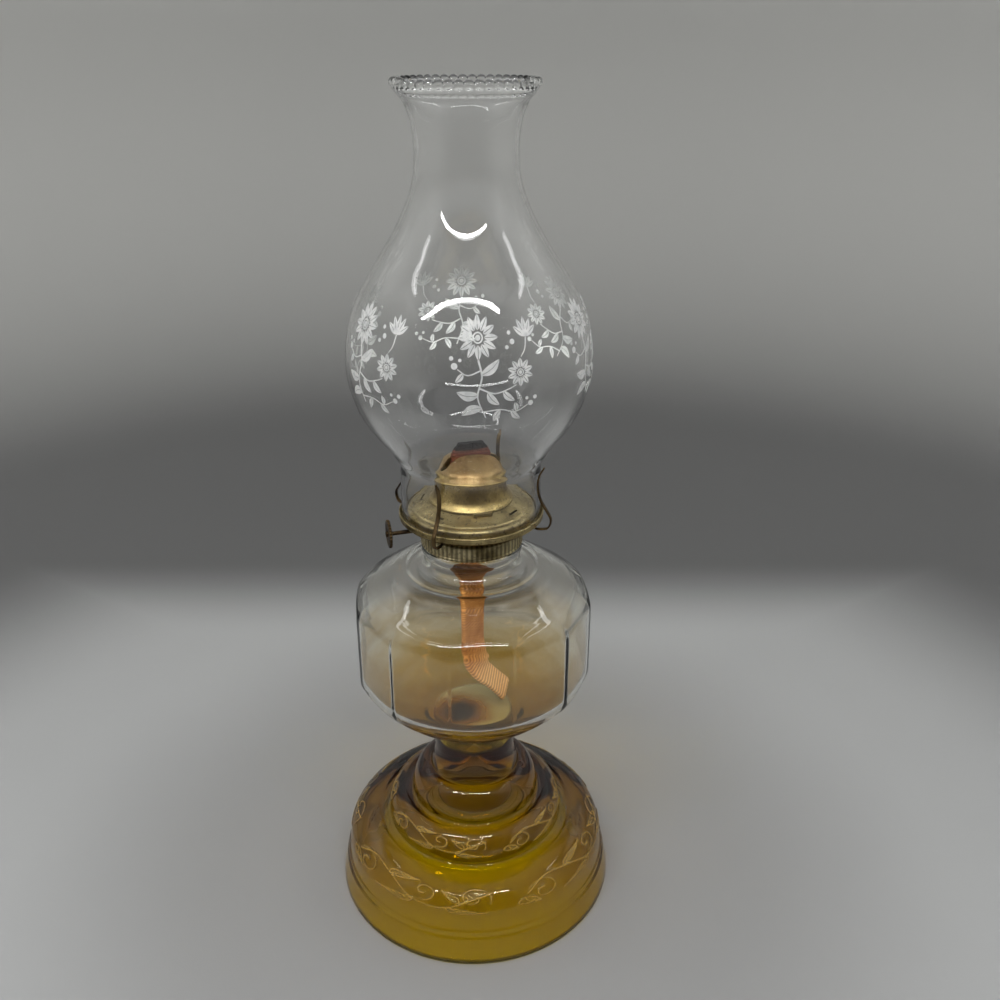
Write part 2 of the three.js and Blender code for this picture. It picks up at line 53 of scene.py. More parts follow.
camera_data = bpy.data.cameras.new("camera")
camera_data.lens = camera_lens
camera = bpy.data.objects.new("camera", camera_data)
camera_look = Vector((*(camera_heading * math.cos(camera_pitch)), -math.sin(camera_pitch)))
camera.location = camera_place
camera.rotation_euler = camera_look.to_track_quat("-Z", "Y").to_euler()
bpy.context.scene.collection.objects.link(camera)
bpy.context.scene.camera = camera
bpy.context.scene.view_settings.view_transform = "Standard"


# Stage: a round painted cyclorama. Its paint holds a painted pool of light in a ring round the lamp, and greyer painted
# shade further out and past a line behind it. Its side behind the camera is dark with painted shade, as the open front
# of a light box is.
# It is lit as in a light box, by a long bar overhead, one along each side, a wide ceiling and lamps for the walls.
class Value:
    """A socket in a node tree. Sums and products of these are written as plain expressions."""

    def __init__(self, tree, socket):
        self.tree = tree
        self.socket = socket

    def math(self, operation, *others):
        return self.tree.node("ShaderNodeMath", {"operation": operation}, [self, *others])

    def __add__(self, other):
        return self.math("ADD", other)

    def __sub__(self, other):
        return self.math("SUBTRACT", other)

    def __mul__(self, other):
        return self.math("MULTIPLY", other)

    def __truediv__(self, other):
        return self.math("DIVIDE", other)

    def __rsub__(self, other):
        return self.tree.node("ShaderNodeMath", {"operation": "SUBTRACT"}, [other, self])


class Tree:
    """A node tree that is built by one call for each node."""

    def __init__(self, tree):
        self.tree = tree

    def node(self, kind, settings=None, inputs=(), output=0):
        made = self.tree.nodes.new(kind)
        for name, setting in (settings or {}).items():
            setattr(made, name, setting)
        pairs = inputs.items() if isinstance(inputs, dict) else enumerate(inputs)
        for name, given in pairs:
            for value in given if isinstance(given, list) else [given]:
                if isinstance(value, Value):
                    self.tree.links.new(value.socket, made.inputs[name])
                else:
                    made.inputs[name].default_value = value
        return Value(self, made.outputs[output])

    def parts(self, vector, axes="XYZ"):
        """The numbers in a vector, one for each axis that is named."""
        return [self.node("ShaderNodeSeparateXYZ", None, [vector], axis) for axis in axes]

    def vector(self, operation, *inputs):
        number = operation in ("LENGTH", "DOT_PRODUCT")
        return self.node("ShaderNodeVectorMath", {"operation": operation}, inputs, "Value" if number else "Vector")


class Finish(Tree):
    """A material, with the shader nodes that the finishes share."""

    def __init__(self, name):
        self.material = bpy.data.materials.new(name)
        self.material.use_nodes = True
        super().__init__(self.material.node_tree)
        self.tree.nodes.clear()

    def place(self, *scale):
        """Object coordinates, stretched by a scale for each axis where one is given."""
        here = self.node("ShaderNodeTexCoord", output="Object")
        return self.vector("MULTIPLY", here, scale) if scale else here

    def clouds(self, where, scale, detail=4.0, roughness=0.55):
        return self.node("ShaderNodeTexNoise", None,
                         {"Vector": where, "Scale": scale, "Detail": detail, "Roughness": roughness})

    def step(self, value, low, high):
        """Rises smoothly from 0 at low to 1 at high."""
        return self.node("ShaderNodeMapRange", {"interpolation_type": "SMOOTHSTEP"},
                         {"Value": value, "From Min": low, "From Max": high})

    def patches(self, where, scale, detail, roughness, low, high):
        """Clouds with a soft edge, 0 between them and 1 inside."""
        return self.step(self.clouds(where, scale, detail, roughness), low, high)

    def mix(self, share, first, second):
        """One colour over another, by a share."""
        return self.node("ShaderNodeMix", {"data_type": "RGBA"}, {0: share, 6: first, 7: second}, 2)

    def layers(self, ground, *coats):
        """A ground colour under coats, each given as its share and its colour."""
        for share, coat in coats:
            ground = self.mix(share, ground, coat)
        return ground

    def bump(self, height, depth, distance=MM):
        return self.node("ShaderNodeBump", None, {"Strength": depth, "Distance": distance, "Height": height})

    def surface(self, **inputs):
        """The plain surface shader. Names are its sockets' names with lines for spaces."""
        return self.node("ShaderNodeBsdfPrincipled", None,
                         {name.replace("_", " "): value for name, value in inputs.items()})

    def close(self, surface, volume=None):
        output = self.tree.nodes.new("ShaderNodeOutputMaterial")
        self.tree.links.new(surface.socket, output.inputs["Surface"])
        if volume is not None:
            self.tree.links.new(volume.socket, output.inputs["Volume"])
        return self.material


def colour(red, green, blue):
    """A colour as it is seen, 0 to 255, in the linear light that shaders use."""
    def linear(part):
        part = part / 255
        return part / 12.92 if part <= 0.04045 else ((part + 0.055) / 1.055) ** 2.4
    return (linear(red), linear(green), linear(blue), 1)


def meshed(name, corners, faces, smooth=True):
    mesh = bpy.data.meshes.new(name)
    mesh.from_pydata([tuple(corner) for corner in corners], [], faces)
    mesh.polygons.foreach_set("use_smooth", [smooth] * len(mesh.polygons))
    piece = bpy.data.objects.new(name, mesh)
    bpy.context.scene.collection.objects.link(piece)
    return piece


def ring_faces(a, count_a, b, count_b):
    """Faces between two rings of points, where one count divides the other."""
    if count_a == 1:
        return [(a, b + (k + 1) % count_b, b + k) for k in range(count_b)]
    if count_b == 1:
        return [(a + k, a + (k + 1) % count_a, b) for k in range(count_a)]
    shared = min(count_a, count_b)
    more_a = count_a // shared
    more_b = count_b // shared
    faces = []
    for k in range(shared):
        lower = [a + (k * more_a + i) % count_a for i in range(more_a + 1)]
        upper = [b + (k * more_b + i) % count_b for i in range(more_b + 1)]
        faces.append((*lower, *reversed(upper)))
    return faces


def spun(name, outline, counts, form=None, spread=None):
    """Turns (radius, height) points about Z. They start and end on the axis, or close on themselves.

    counts is the number of steps round, for all rows or for each. form changes a row's radii and heights.
    """
    outline = np.asarray(outline, float)
    radii, heights = outline.T
    if (radii * np.roll(heights, -1) - np.roll(radii, -1) * heights).sum() < 0:
        raise ValueError(f"{name}: the outline runs the wrong way round")
    counts = np.where(radii < 1e-9, 1, counts)
    starts = np.concatenate([[0], np.cumsum(counts)])
    corners = []
    for row, count in enumerate(counts):
        angles = np.arange(count) / count * math.tau
        angles = angles if spread is None else spread(angles)
        radius, height = (radii[row], heights[row]) if form is None or count == 1 else form(row, angles)
        corners.append(np.stack([radius * np.cos(angles), radius * np.sin(angles), height + 0 * angles], 1))
    pairs = [(row, row + 1) for row in range(len(outline) - 1)]
    if radii[0] > 1e-9:
        pairs.append((len(outline) - 1, 0))
    faces = []
    for a, b in pairs:
        faces += ring_faces(int(starts[a]), int(counts[a]), int(starts[b]), int(counts[b]))
    return meshed(name, np.concatenate(corners), faces)


floor_radius = 0.95
wall_radius = 1.45
wall_height = 1.7
floor_grey = colour(174, 174, 174)
painted_light_ring_grey = colour(200, 201, 201)
painted_shade_grey = colour(122, 122, 122)
wall_grey = colour(212, 212, 209)
painted_light_ring_fade = (0.15, 0.32)
painted_shade_fade = (0.36, 0.62)
back_painted_shade_fade = (0.26, 0.4)
front_painted_shade_grey = colour(92, 92, 92)
front_painted_shade_fade = (-1.3, -0.4)
wall_fade = (0.8, 1.5)

bend = np.linspace(0, math.pi / 2, 24)
bend_radius = wall_radius - floor_radius
cyclorama_line = [(floor_radius + bend_radius * math.sin(a), bend_radius * (1 - math.cos(a))) for a in bend]
board = 10 * MM
cyclorama = spun("cyclorama", [
    (0, -board), (wall_radius + board, -board), (wall_radius + board, wall_height), (wall_radius, wall_height),
    *reversed(cyclorama_line), (floor_radius / 2, 0), (0, 0),
], 96)
paint = Finish("cyclorama_paint")
from_lamp = paint.vector("LENGTH", paint.place())
paint_grain = paint.clouds(paint.place(), 900)
past_line = paint.vector("DOT_PRODUCT", paint.place(), (*camera_heading, 0))
# Painted light and shade: a paler ring round the lamp, then greyer paint further out and past the line behind it.
painted_shade_share = paint.step(from_lamp, *painted_shade_fade).math("MAXIMUM", paint.step(past_line, *back_painted_shade_fade))
paint_and_painted_light_colour = paint.layers(floor_grey, (paint.step(from_lamp, *painted_light_ring_fade), painted_light_ring_grey), (painted_shade_share, painted_shade_grey),
                            (paint.step(from_lamp, *wall_fade), wall_grey))
# Painted shade: dark paint on the side behind the camera.
paint_and_painted_light_colour = paint.mix(paint.step(past_line, *front_painted_shade_fade), front_painted_shade_grey, paint_and_painted_light_colour)
cyclorama.data.materials.append(paint.close(paint.surface(
    Base_Color=paint_and_painted_light_colour, Roughness=0.75, Specular_IOR_Level=0.2, Normal=paint.bump(paint_grain, 0.05))))


def lamp(name, place, target, along, size, power):
    """A soft rectangular lamp that faces a point, with its first side along a direction."""
    light = bpy.data.lights.new(name, "AREA")
    light.shape = "RECTANGLE"
    light.size, light.size_y = size
    light.energy = power
    back = (Vector(place) - Vector(target)).normalized()
    along = (Vector(along) - back * back.dot(along)).normalized()
    holder = bpy.data.objects.new(name, light)
    holder.matrix_world = Matrix.Translation(place) @ Matrix((along, back.cross(along), back)).transposed().to_4x4()
    bpy.context.scene.collection.objects.link(holder)


heading = Vector((*camera_heading, 0))
rightward = Vector((camera_heading.y, -camera_heading.x, 0))
lamp_middle = Vector((0, 0, 0.2))
bar_forward, bar_right, bar_level = -0.46, -0.1, 0.85
bar_size = (0.9, 0.028)
bar_power = 4.1
side_reach, side_level = 0.6, 0.88
side_size = (0.5, 0.03)
side_power = 0.25
ceiling_level, ceiling_side, ceiling_power = 1.75, 2.2, 4.0
washer_count = 6
washer_radius, washer_level = 0.95, 1.5
washer_size = (0.7, 0.15)
washer_power = 2.1
washer_side_gain = 2.4
washer_target = 1.25
lamp("ceiling", (0, 0, ceiling_level), lamp_middle, rightward, (ceiling_side, ceiling_side), ceiling_power)
bar_place = heading * bar_forward + rightward * bar_right + Vector((0, 0, bar_level))
lamp("bar", bar_place, bar_place * Vector((1, 1, 0)), rightward, bar_size, bar_power)
for number, side in enumerate((-1, 1)):
    lamp(f"side_{number + 1}", rightward * side * side_reach + Vector((0, 0, side_level)), lamp_middle, heading,
         side_size, side_power)
for number in range(washer_count):
    angle = number / washer_count * math.tau
    outward = heading * math.cos(angle) + rightward * math.sin(angle)
    power = washer_power * (1 + washer_side_gain * abs(math.sin(angle)) ** 4)
    lamp(f"washer_{number + 1}", outward * washer_radius + Vector((0, 0, washer_level)),
         outward * wall_radius + Vector((0, 0, washer_target)), (-outward.y, outward.x, 0), washer_size, power)
world = bpy.data.worlds.new("world")
bpy.context.scene.world = world
world.use_nodes = True
backdrop = world.node_tree.nodes["Background"]
backdrop.inputs["Color"].default_value = colour(235, 238, 242)
backdrop.inputs["Strength"].default_value = 0.1


# Foot: one pressing of amber glass, hollow from below, with three domed tiers under a short neck.
# Traditional leaf scrolls stand up from the two lower tiers as thin rounded lines.
foot_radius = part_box("foot")[1].x
foot_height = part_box("foot")[1].z
foot_steps = 140
scroll_steps = 840
scroll_repeats = 4
scroll_height = 0.6 * MM
scroll_width = 0.55 * MM
scroll_band = (0.05, 0.74)
ledge_drop = 0.8 * MM
outer_spacing = 0.62 * MM
inner_spacing = 1.6 * MM
# Each tier: outer radius and low height, inner radius and high height, as shares of the foot's
tier_shares = ((0.936, 0.252, 0.69, 0.405), (0.63, 0.411, 0.503, 0.552), (0.455, 0.555, 0.322, 0.72))
rim_shares = ((0.991, 0), (1, 0.008), (1, 0.03), (0.968, 0.148), (0.9545, 0.157), (0.952, 0.172), (0.959, 0.181),
              (0.957, 0.189), (0.944, 0.196))
neck_shares = ((0.312, 0.735), (0.296, 0.765), (0.2833, 0.82), (0.2833, 0.965), (0.289, 0.99), (0.283, 1))
hollow_shares = ((0, 0.822), (0.012, 0.812), (0.035, 0.775), (0.08, 0.735), (0.16, 0.695), (0.225, 0.655),
                 (0.265, 0.595), (0.315, 0.535), (0.375, 0.495), (0.425, 0.46), (0.485, 0.405), (0.53, 0.362),
                 (0.62, 0.342), (0.71, 0.31), (0.797, 0.25), (0.85, 0.18), (0.882, 0.12), (0.927, 0))
peg_radius = 17 * MM
peg_length = 16 * MM
glass_gap = 0.3 * MM


def lengths(points):
    """How far along a line each of its points is."""
    return np.concatenate([[0], np.cumsum(np.linalg.norm(np.diff(points, axis=0), axis=1))])


def softened(points, spacing, passes=3):
    """Evenly spaced points along a line, with its corners rounded as glass and sheet round them."""
    points = np.asarray(points, float)
    along = lengths(points)
    places = np.linspace(0, along[-1], max(round(along[-1] / spacing), 2) + 1)
    line = np.stack([np.interp(places, along, column) for column in points.T], 1)
    for _ in range(passes):
        line[1:-1] = (line[:-2] + 2 * line[1:-1] + line[2:]) / 4
    return line


def arc(centre, radii, start, end, count):
    """Points on an ellipse, between two angles in degrees."""
    angles = np.radians(np.linspace(start, end, count))
    return np.stack([centre[0] + radii[0] * np.cos(angles), centre[1] + radii[1] * np.sin(angles)], 1)


def near(radius, level, *offsets):
    """Points round a radius and a level, by offsets outwards and upwards in millimetres."""
    return [(radius + out * MM, level + up * MM) for out, up in offsets]


def through(points, count):
    """Points on a smooth curve through the given ones."""
    points = np.asarray(points, float)
    padded = np.concatenate([[2 * points[0] - points[1]], points, [2 * points[-1] - points[-2]]])
    places = np.linspace(0, len(points) - 1, count)
    index = np.minimum(places.astype(int), len(points) - 2)
    t = (places - index)[:, None]
    a, b, c, d = (padded[index + k] for k in range(4))
    return ((2 * b) + (c - a) * t + (2 * a - 5 * b + 4 * c - d) * t ** 2 + (3 * b - a - 3 * c + d) * t ** 3) / 2


def unit(rows):
    return rows / np.maximum(np.linalg.norm(rows, axis=1, keepdims=True), 1e-12)


def normals(outline):
    """Unit vectors to the right of the direction of travel, which is outwards on an outline that goes up."""
    along = np.gradient(outline, axis=0)
    return unit(np.stack([along[:, 1], -along[:, 0]], 1))


def scroll_lines():
    """One repeat of the scrolls, in shares of a repeat's length along and of the dome's height up."""
    def curl(centre, size, turns, start, sense):
        t = np.linspace(0, 1, 60)
        angle = math.radians(start) + sense * turns * math.tau * t
        reach = size * (1 - 0.8 * t)
        return np.stack([centre[0] + 0.3 * reach * np.cos(angle), centre[1] + reach * np.sin(angle)], 1)

    def leaf(base, tip, width, lean):
        base, tip = np.array(base), np.array(tip)
        side = np.array([tip[1] - base[1], base[0] - tip[0]])
        t = np.linspace(0, 1, 40)[:, None]
        spine = base + (tip - base) * t + side * lean * np.sin(math.pi * t)
        half = side * width * np.sin(math.pi * t ** 0.8)
        vein = through([base, base + (tip - base) * 0.45 + side * lean * 0.9, base + (tip - base) * 0.8], 20)
        return [spine + half, spine - half, vein]

    stem = through([(-0.4, 0.5), (-0.28, 0.76), (-0.12, 0.62), (0.02, 0.34), (0.18, 0.3), (0.3, 0.52), (0.42, 0.72)],
                   240)
    lines = [stem, curl((-0.31, 0.44), 0.3, 1.2, 150, -1), curl((0.33, 0.6), 0.3, 1.15, -30, 1),
             curl((0.07, 0.62), 0.24, 1.1, 250, 1)]
    for base, tip, width, lean in (((-0.14, 0.66), (0.03, 0.84), 0.2, -0.12), ((0.02, 0.33), (-0.2, 0.17), 0.2, -0.14),
                                   ((0.2, 0.32), (0.38, 0.2), 0.22, 0.16), ((0.26, 0.46), (0.16, 0.74), 0.17, 0.12),
                                   ((-0.42, 0.42), (-0.34, 0.2), 0.2, 0.1)):
        lines += leaf(base, tip, width, lean)
    return lines


def scroll_relief(around, length, up):
    """How far the scrolls stand up, at places around one repeat and a distance up the dome."""
    low, high = scroll_band
    lines = (np.concatenate(scroll_lines()) * (1, high - low) + (0, low)) * (around, length)
    lines = np.concatenate([lines + (shift * around, 0) for shift in range(-1, 2)])
    places = np.linspace(-0.5, 0.5, scroll_steps // scroll_repeats, endpoint=False) * around
    distance = np.hypot(places[:, None] - lines[None, :, 0], up - lines[None, :, 1]).min(1)
    return scroll_height * np.exp(-(distance / scroll_width) ** 2)


foot_scale = np.array((foot_radius, foot_height))
foot_outside = [np.array(rim_shares) * foot_scale]
domes = []
for tier, shares in enumerate(tier_shares):
    outer, low, inner, high = shares * np.tile(foot_scale, 2)
    foot_outside.append(arc((inner, low), (outer - inner, high - low), 0, 86, 24))
    next_low = (inner, high - ledge_drop)
    foot_outside.append([next_low])
    if tier < 2:
        next_outer = tier_shares[tier + 1][0] * foot_radius
        foot_outside.append([(next_outer + 0.6 * MM, high - ledge_drop), (next_outer, high)])
        domes.append((outer, low, inner, high))
foot_outside.append(np.array(neck_shares) * foot_scale)
socket_radius = peg_radius + glass_gap
foot_outside = softened(np.concatenate(foot_outside), outer_spacing, 2)
foot_socket = softened([(neck_shares[-1][0] * foot_radius - outer_spacing, foot_height), (socket_radius, foot_height),
                        (socket_radius, foot_height - peg_length), (0, foot_height - peg_length)], 1.5 * MM, 1)
foot_inside = softened(np.array(hollow_shares) * foot_scale, inner_spacing, 3)
foot_outline = np.concatenate([foot_inside, foot_outside, foot_socket])
foot_outline[[0, -1], 0] = 0
foot_normals = normals(foot_outline)
foot_counts = np.full(len(foot_outline), foot_steps)
first_outside = len(foot_inside)
last_outside = first_outside + len(foot_outside)
foot_relief = {}
for outer, low, inner, high in domes:
    dome_length = math.pi / 2 * math.hypot(outer - inner, high - low) / math.sqrt(2)
    around = math.tau / scroll_repeats * (outer + inner) / 2
    for row in range(first_outside, last_outside):
        radius, height = foot_outline[row]
        if low < height < high - ledge_drop and inner < radius < outer + MM:
            share = math.asin((height - low) / (high - low)) / (math.pi / 2)
            if share <= sum(scroll_band):
                foot_counts[row] = scroll_steps
                relief = scroll_relief(around, dome_length, share * dome_length)
                foot_relief[row] = np.tile(relief, scroll_repeats)


def foot_form(row, angles):
    lift = foot_relief.get(row, 0)
    return foot_outline[row][0] + foot_normals[row][0] * lift, foot_outline[row][1] + foot_normals[row][1] * lift


def glass_finish(name, tint, density, shade, waviness, wave_scale, frost_level=1.0, ridge_wear_and_painted_highlight=None, gloss=0.5):
    """Clear or tinted glass. Lamps reach what is behind it, and the tint deepens with the glass's thickness.

    Above frost_level the glass is dull. Where the mesh has ridges they carry wear and a painted highlight, in the given
    colour.
    """
    finish = Finish(name)
    ripple = finish.clouds(finish.place(), wave_scale, 2)
    smear = finish.patches(finish.place(), 3 * wave_scale, 5, 0.7, 0.55, 0.8)
    level, = finish.parts(finish.place(), "Z")
    frost = finish.step(level, frost_level - 0.5 * MM, frost_level + 0.5 * MM)
    glass = finish.surface(Base_Color=(1, 1, 1, 1), Transmission_Weight=1.0, IOR=1.5,
                           Specular_IOR_Level=gloss, Roughness=smear * 0.02 + frost * 0.07,
                           Normal=finish.bump(ripple, waviness))
    if ridge_wear_and_painted_highlight is not None:
        # The ridges' tops get a pale diffuse skin: partly wear, partly a painted highlight.
        ridge = finish.node("ShaderNodeAttribute", {"attribute_name": "ridge"}, output="Fac")
        skin = finish.surface(Base_Color=ridge_wear_and_painted_highlight, Roughness=smear * 0.2 + 0.3)
        glass = finish.node("ShaderNodeMixShader", None, [finish.step(ridge, 0.3, 1) * 0.6, glass, skin])
    clear = finish.node("ShaderNodeBsdfTransparent", None, {"Color": shade})
    shadow = finish.node("ShaderNodeLightPath", output="Is Shadow Ray")
    depth = finish.node("ShaderNodeVolumeAbsorption", None, {"Color": tint, "Density": density})
    return finish.close(finish.node("ShaderNodeMixShader", None, [shadow, glass, clear]), depth)


foot = spun("foot_glass", foot_outline, foot_counts, foot_form)
ridge = foot.data.attributes.new("ridge", "FLOAT", "POINT")
ridge.data.foreach_set("value", np.concatenate([
    foot_relief.get(row, np.zeros(1 if foot_outline[row, 0] < 1e-9 else count)) / scroll_height
    for row, count in enumerate(foot_counts)]))
# The amber glass's scroll ridges carry a pale painted highlight, partly wear.
foot.data.materials.append(glass_finish("amber_glass", (0.963, 0.939, 0, 1), 1000.0, (0.94, 0.93, 0.9, 1), 0.05, 60,
                                        ridge_wear_and_painted_highlight=colour(214, 178, 92), gloss=0.3))
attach(foot, "lamp_base")
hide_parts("foot")


# Font: a vessel of clear pressed glass in twelve flat panels, whose arrises are softer inside than outside.
# Its short hollow peg stands in the foot's neck, and a screw cap of brass goes over its mouth.
font_seat = foot_height + glass_gap
font_radius = 67.5 * MM
underside_rise = 36.2 * MM
font_rim = font_seat + underside_rise
panel_top = font_rim + 44 * MM
shoulder_top = panel_top + 20.5 * MM
mouth_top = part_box("font")[1].z
panel_count = 12
panel_turn = math.radians(4.8) - math.pi / 2
panel_steps = 16
panels_reach = 8 * MM
arris_rounding = 2.1 * MM
bore_rounding = 2.6 * MM
font_floor = font_seat + 5.7 * MM
well_radius = 24 * MM
crease_radius = 36.5 * MM
neck_radius = 25.3 * MM
neck_bore = 21.5 * MM
bead_radius = 27.3 * MM
mouth_radius = 25.9 * MM
font_wall = 3.4 * MM
peg_wall = 1.2 * MM
peg_vent = 1.2 * MM
bead_top = mouth_top - 6.8 * MM
# Between two ends: share of the radius, share of the height
underside_shares = ((0, 0), (0.06, 0.01), (0.15, 0.09), (0.32, 0.22), (0.49, 0.37), (0.67, 0.555), (0.83, 0.75),
                    (0.94, 0.9), (1, 1))
shoulder_shares = ((1, 0), (0.975, 0.08), (0.93, 0.16), (0.865, 0.27), (0.785, 0.37), (0.69, 0.46), (0.49, 0.66),
                   (0.29, 0.85), (0.13, 0.965), (0.05, 1))


def between(start, end, shares):
    start, end = np.array(start), np.array(end)
    return start + (end - start) * np.array(shares)


font_apothem = font_radius * math.cos(math.pi / panel_count)
neck_top = bead_top - 6.2 * MM
font_skin = np.concatenate([
    between((neck_radius - 1.9 * MM, font_seat), (font_radius, font_rim), underside_shares)[1:],
    near(font_radius, font_rim, (0.4, 3)), near(font_radius, panel_top, (0.4, -3)),
    between((crease_radius, panel_top), (font_radius, shoulder_top), shoulder_shares),
])
font_outside = softened(np.concatenate([
    [(0, font_seat - peg_length), (peg_radius, font_seat - peg_length), (peg_radius, font_seat),
     (neck_radius - 2 * MM, font_seat)],
    font_skin,
    near(crease_radius, shoulder_top, (0.9, 0.4), (0, 0.7), (-1.2, 0.1)),
    near(0, shoulder_top, (31, 0.5), (27.6, 2.4)),
    [(neck_radius, shoulder_top + 5 * MM), (neck_radius, neck_top), (bead_radius, neck_top + 1.7 * MM),
     (bead_radius, bead_top - 0.5 * MM), (mouth_radius, bead_top), (mouth_radius, mouth_top)],
]), 0.75 * MM, 2)
font_bowl = softened(font_skin, 0.9 * MM, 8)
font_bowl = font_bowl - normals(font_bowl) * font_wall
font_bowl = font_bowl[font_bowl[:, 1] > font_floor + 0.8 * MM]
font_inside = softened(np.concatenate([
    [(neck_bore, mouth_top), (neck_bore, shoulder_top + 4 * MM), (neck_bore + 1.4 * MM, shoulder_top + 0.4 * MM),
     (neck_bore + 4 * MM, shoulder_top - 2 * MM), (neck_bore + 8.5 * MM, shoulder_top - font_wall + 0.4 * MM)],
    font_bowl[::-1], [(well_radius, font_floor + 0.4 * MM), (well_radius - 1.8 * MM, font_floor),
                      (peg_vent, font_floor)],
]), 1.15 * MM, 4)
peg_low = font_seat - peg_length + peg_wall
peg_hollow = softened([(peg_vent, font_seat + 2 * peg_wall), (peg_radius - peg_wall, font_seat + 2 * peg_wall),
                       (peg_radius - peg_wall, peg_low), (0, peg_low)], 1.3 * MM, 1)
font_outside[0, 0] = peg_hollow[-1, 0] = 0
font_outline = np.concatenate([font_outside, font_inside, peg_hollow])


def panel_spread(angles):
    """Crowds the steps towards the arrises, where two panels meet."""
    panel = math.tau / panel_count
    share = (angles % panel) / panel * 2 - 1
    crowded = np.sign(share) * (1 - (1 - np.abs(share)) ** 1.45)
    return angles - (angles % panel) + (crowded + 1) / 2 * panel + panel_turn


def panelled(place, angles, inset, rounding):
    """Keeps a wide row within the twelve panels, set in from their faces, and rounds the arris between them."""
    radius, height = place
    if radius < font_apothem - font_wall - panels_reach:
        return radius, height
    panel = math.tau / panel_count
    from_middle = (angles - panel_turn) % panel - panel / 2
    limit = (font_apothem - inset) / np.cos(from_middle)
    return radius - rounding * np.log1p(np.exp(np.clip((radius - limit) / rounding, -30, 30))), height


def font_form(row, angles):
    inset, rounding = (0, arris_rounding) if row < len(font_outside) else (font_wall, bore_rounding)
    return panelled(font_outline[row], angles, inset, rounding)


font = spun("font_glass", font_outline, panel_count * panel_steps, font_form, panel_spread)
font.data.materials.append(glass_finish("clear_glass", (0.93, 0.95, 0.78, 1), 24.0, (0.93, 0.95, 0.93, 1), 0.07, 45))
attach(font, "lamp_base")
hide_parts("font")


# Residue: old kerosene has dried to a thin olive film inside the font, thicker and ambered in its well.
# A dark gum lies a little to one side in the well. Both are a skin on the glass and no piece of their own.
film_top = font_rim + 33 * MM
film_gap, film_depth = 0.03 * MM, 0.05 * MM
gum_middle = (-9 * MM, -2.5 * MM)
gum_radius = 12 * MM
halo_radius = 24 * MM

film_line = np.concatenate([[(0, font_floor)], font_inside[::-1]])
film_line = film_line[film_line[:, 1] < film_top]
film_out = normals(film_line)
film_outline = np.concatenate([film_line - film_out * film_gap,
                               (film_line - film_out * (film_gap + film_depth))[::-1]])
film_outline[[0, -1], 0] = 0


def film_form(row, angles):
    inset = font_wall + film_gap + (film_depth if row >= len(film_line) else 0)
    return panelled(film_outline[row], angles, inset, bore_rounding)


film = spun("dried_kerosene_film", film_outline, panel_count * panel_steps // 2, film_form, panel_spread)
gum = Finish("dried_kerosene")
gum_out, well_out = (gum.vector("LENGTH", gum.vector("SUBTRACT", gum.place(), (*middle, font_floor)))
                     for middle in (gum_middle, (0, 0)))
ragged = (gum.clouds(gum.place(), 130, 6, 0.65) - 0.5) * (9 * MM)
gum_core = 1 - gum.step(gum_out + ragged, 0.5 * gum_radius, 1.3 * gum_radius)
gum_halo = 1 - gum.step(well_out + ragged * 0.3, 0.85 * halo_radius, halo_radius)
gum_edge = 1 - gum.step(gum_out + ragged, 1.1 * gum_radius, 1.9 * gum_radius)
film_level, = gum.parts(gum.place(), "Z")
film_streaks = gum.patches(gum.place(1, 1, 5), 28, 4, 0.6, 0.25, 0.8)
film_fade = 1 - gum.step(film_level + ragged * 0.6, film_top - 18 * MM, film_top - 2 * MM)
film_low = 1 - gum.step(film_level + ragged * 0.4, font_floor, font_floor + 34 * MM)
gum_colour = gum.layers(colour(186, 176, 128), (gum_edge, colour(150, 104, 34)), (gum_core, colour(30, 12, 8)))
gum_skin = gum.surface(Base_Color=gum_colour, Roughness=gum.clouds(gum.place(), 300) * 0.4 + 0.3,
                       Specular_IOR_Level=0.2, Normal=gum.bump(gum.clouds(gum.place(), 260, 5), 0.3))
bare = gum.node("ShaderNodeBsdfTransparent", None, {"Color": (1, 1, 1, 1)})
varnish = gum.node("ShaderNodeBsdfTransparent", None, {"Color": (0.78, 0.53, 0.03, 1)})
varnish_share = film_fade * (film_streaks * 0.2 + 0.16) + film_low * 0.5 * (1 - gum_halo) + gum_halo * 0.2
stained = gum.node("ShaderNodeMixShader", None, [varnish_share, bare, varnish])
skin_share = (film_fade + film_low) * 0.02 + gum_halo * 0.5 * (1 - gum_core) + gum_core * 0.95
film.data.materials.append(gum.close(gum.node("ShaderNodeMixShader", None, [skin_share, stained, gum_skin])))
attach(film, "lamp_base")


# Font collar: a screw cap of sheet brass with upright ribs round its skirt and a rolled lower edge.
# The burner screws into the socket in its top, over a cork gasket that seals the glass mouth.
collar_low, collar_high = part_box("font_collar")
collar_radius = collar_high.x
collar_rib_count = 64
collar_rib_depth = 0.55 * MM
collar_wall = 0.9 * MM
socket_bore = 16.3 * MM
socket_depth = 9 * MM
rib_low = collar_low.z + 2 * MM
rib_high = collar_high.z - 1.3 * MM


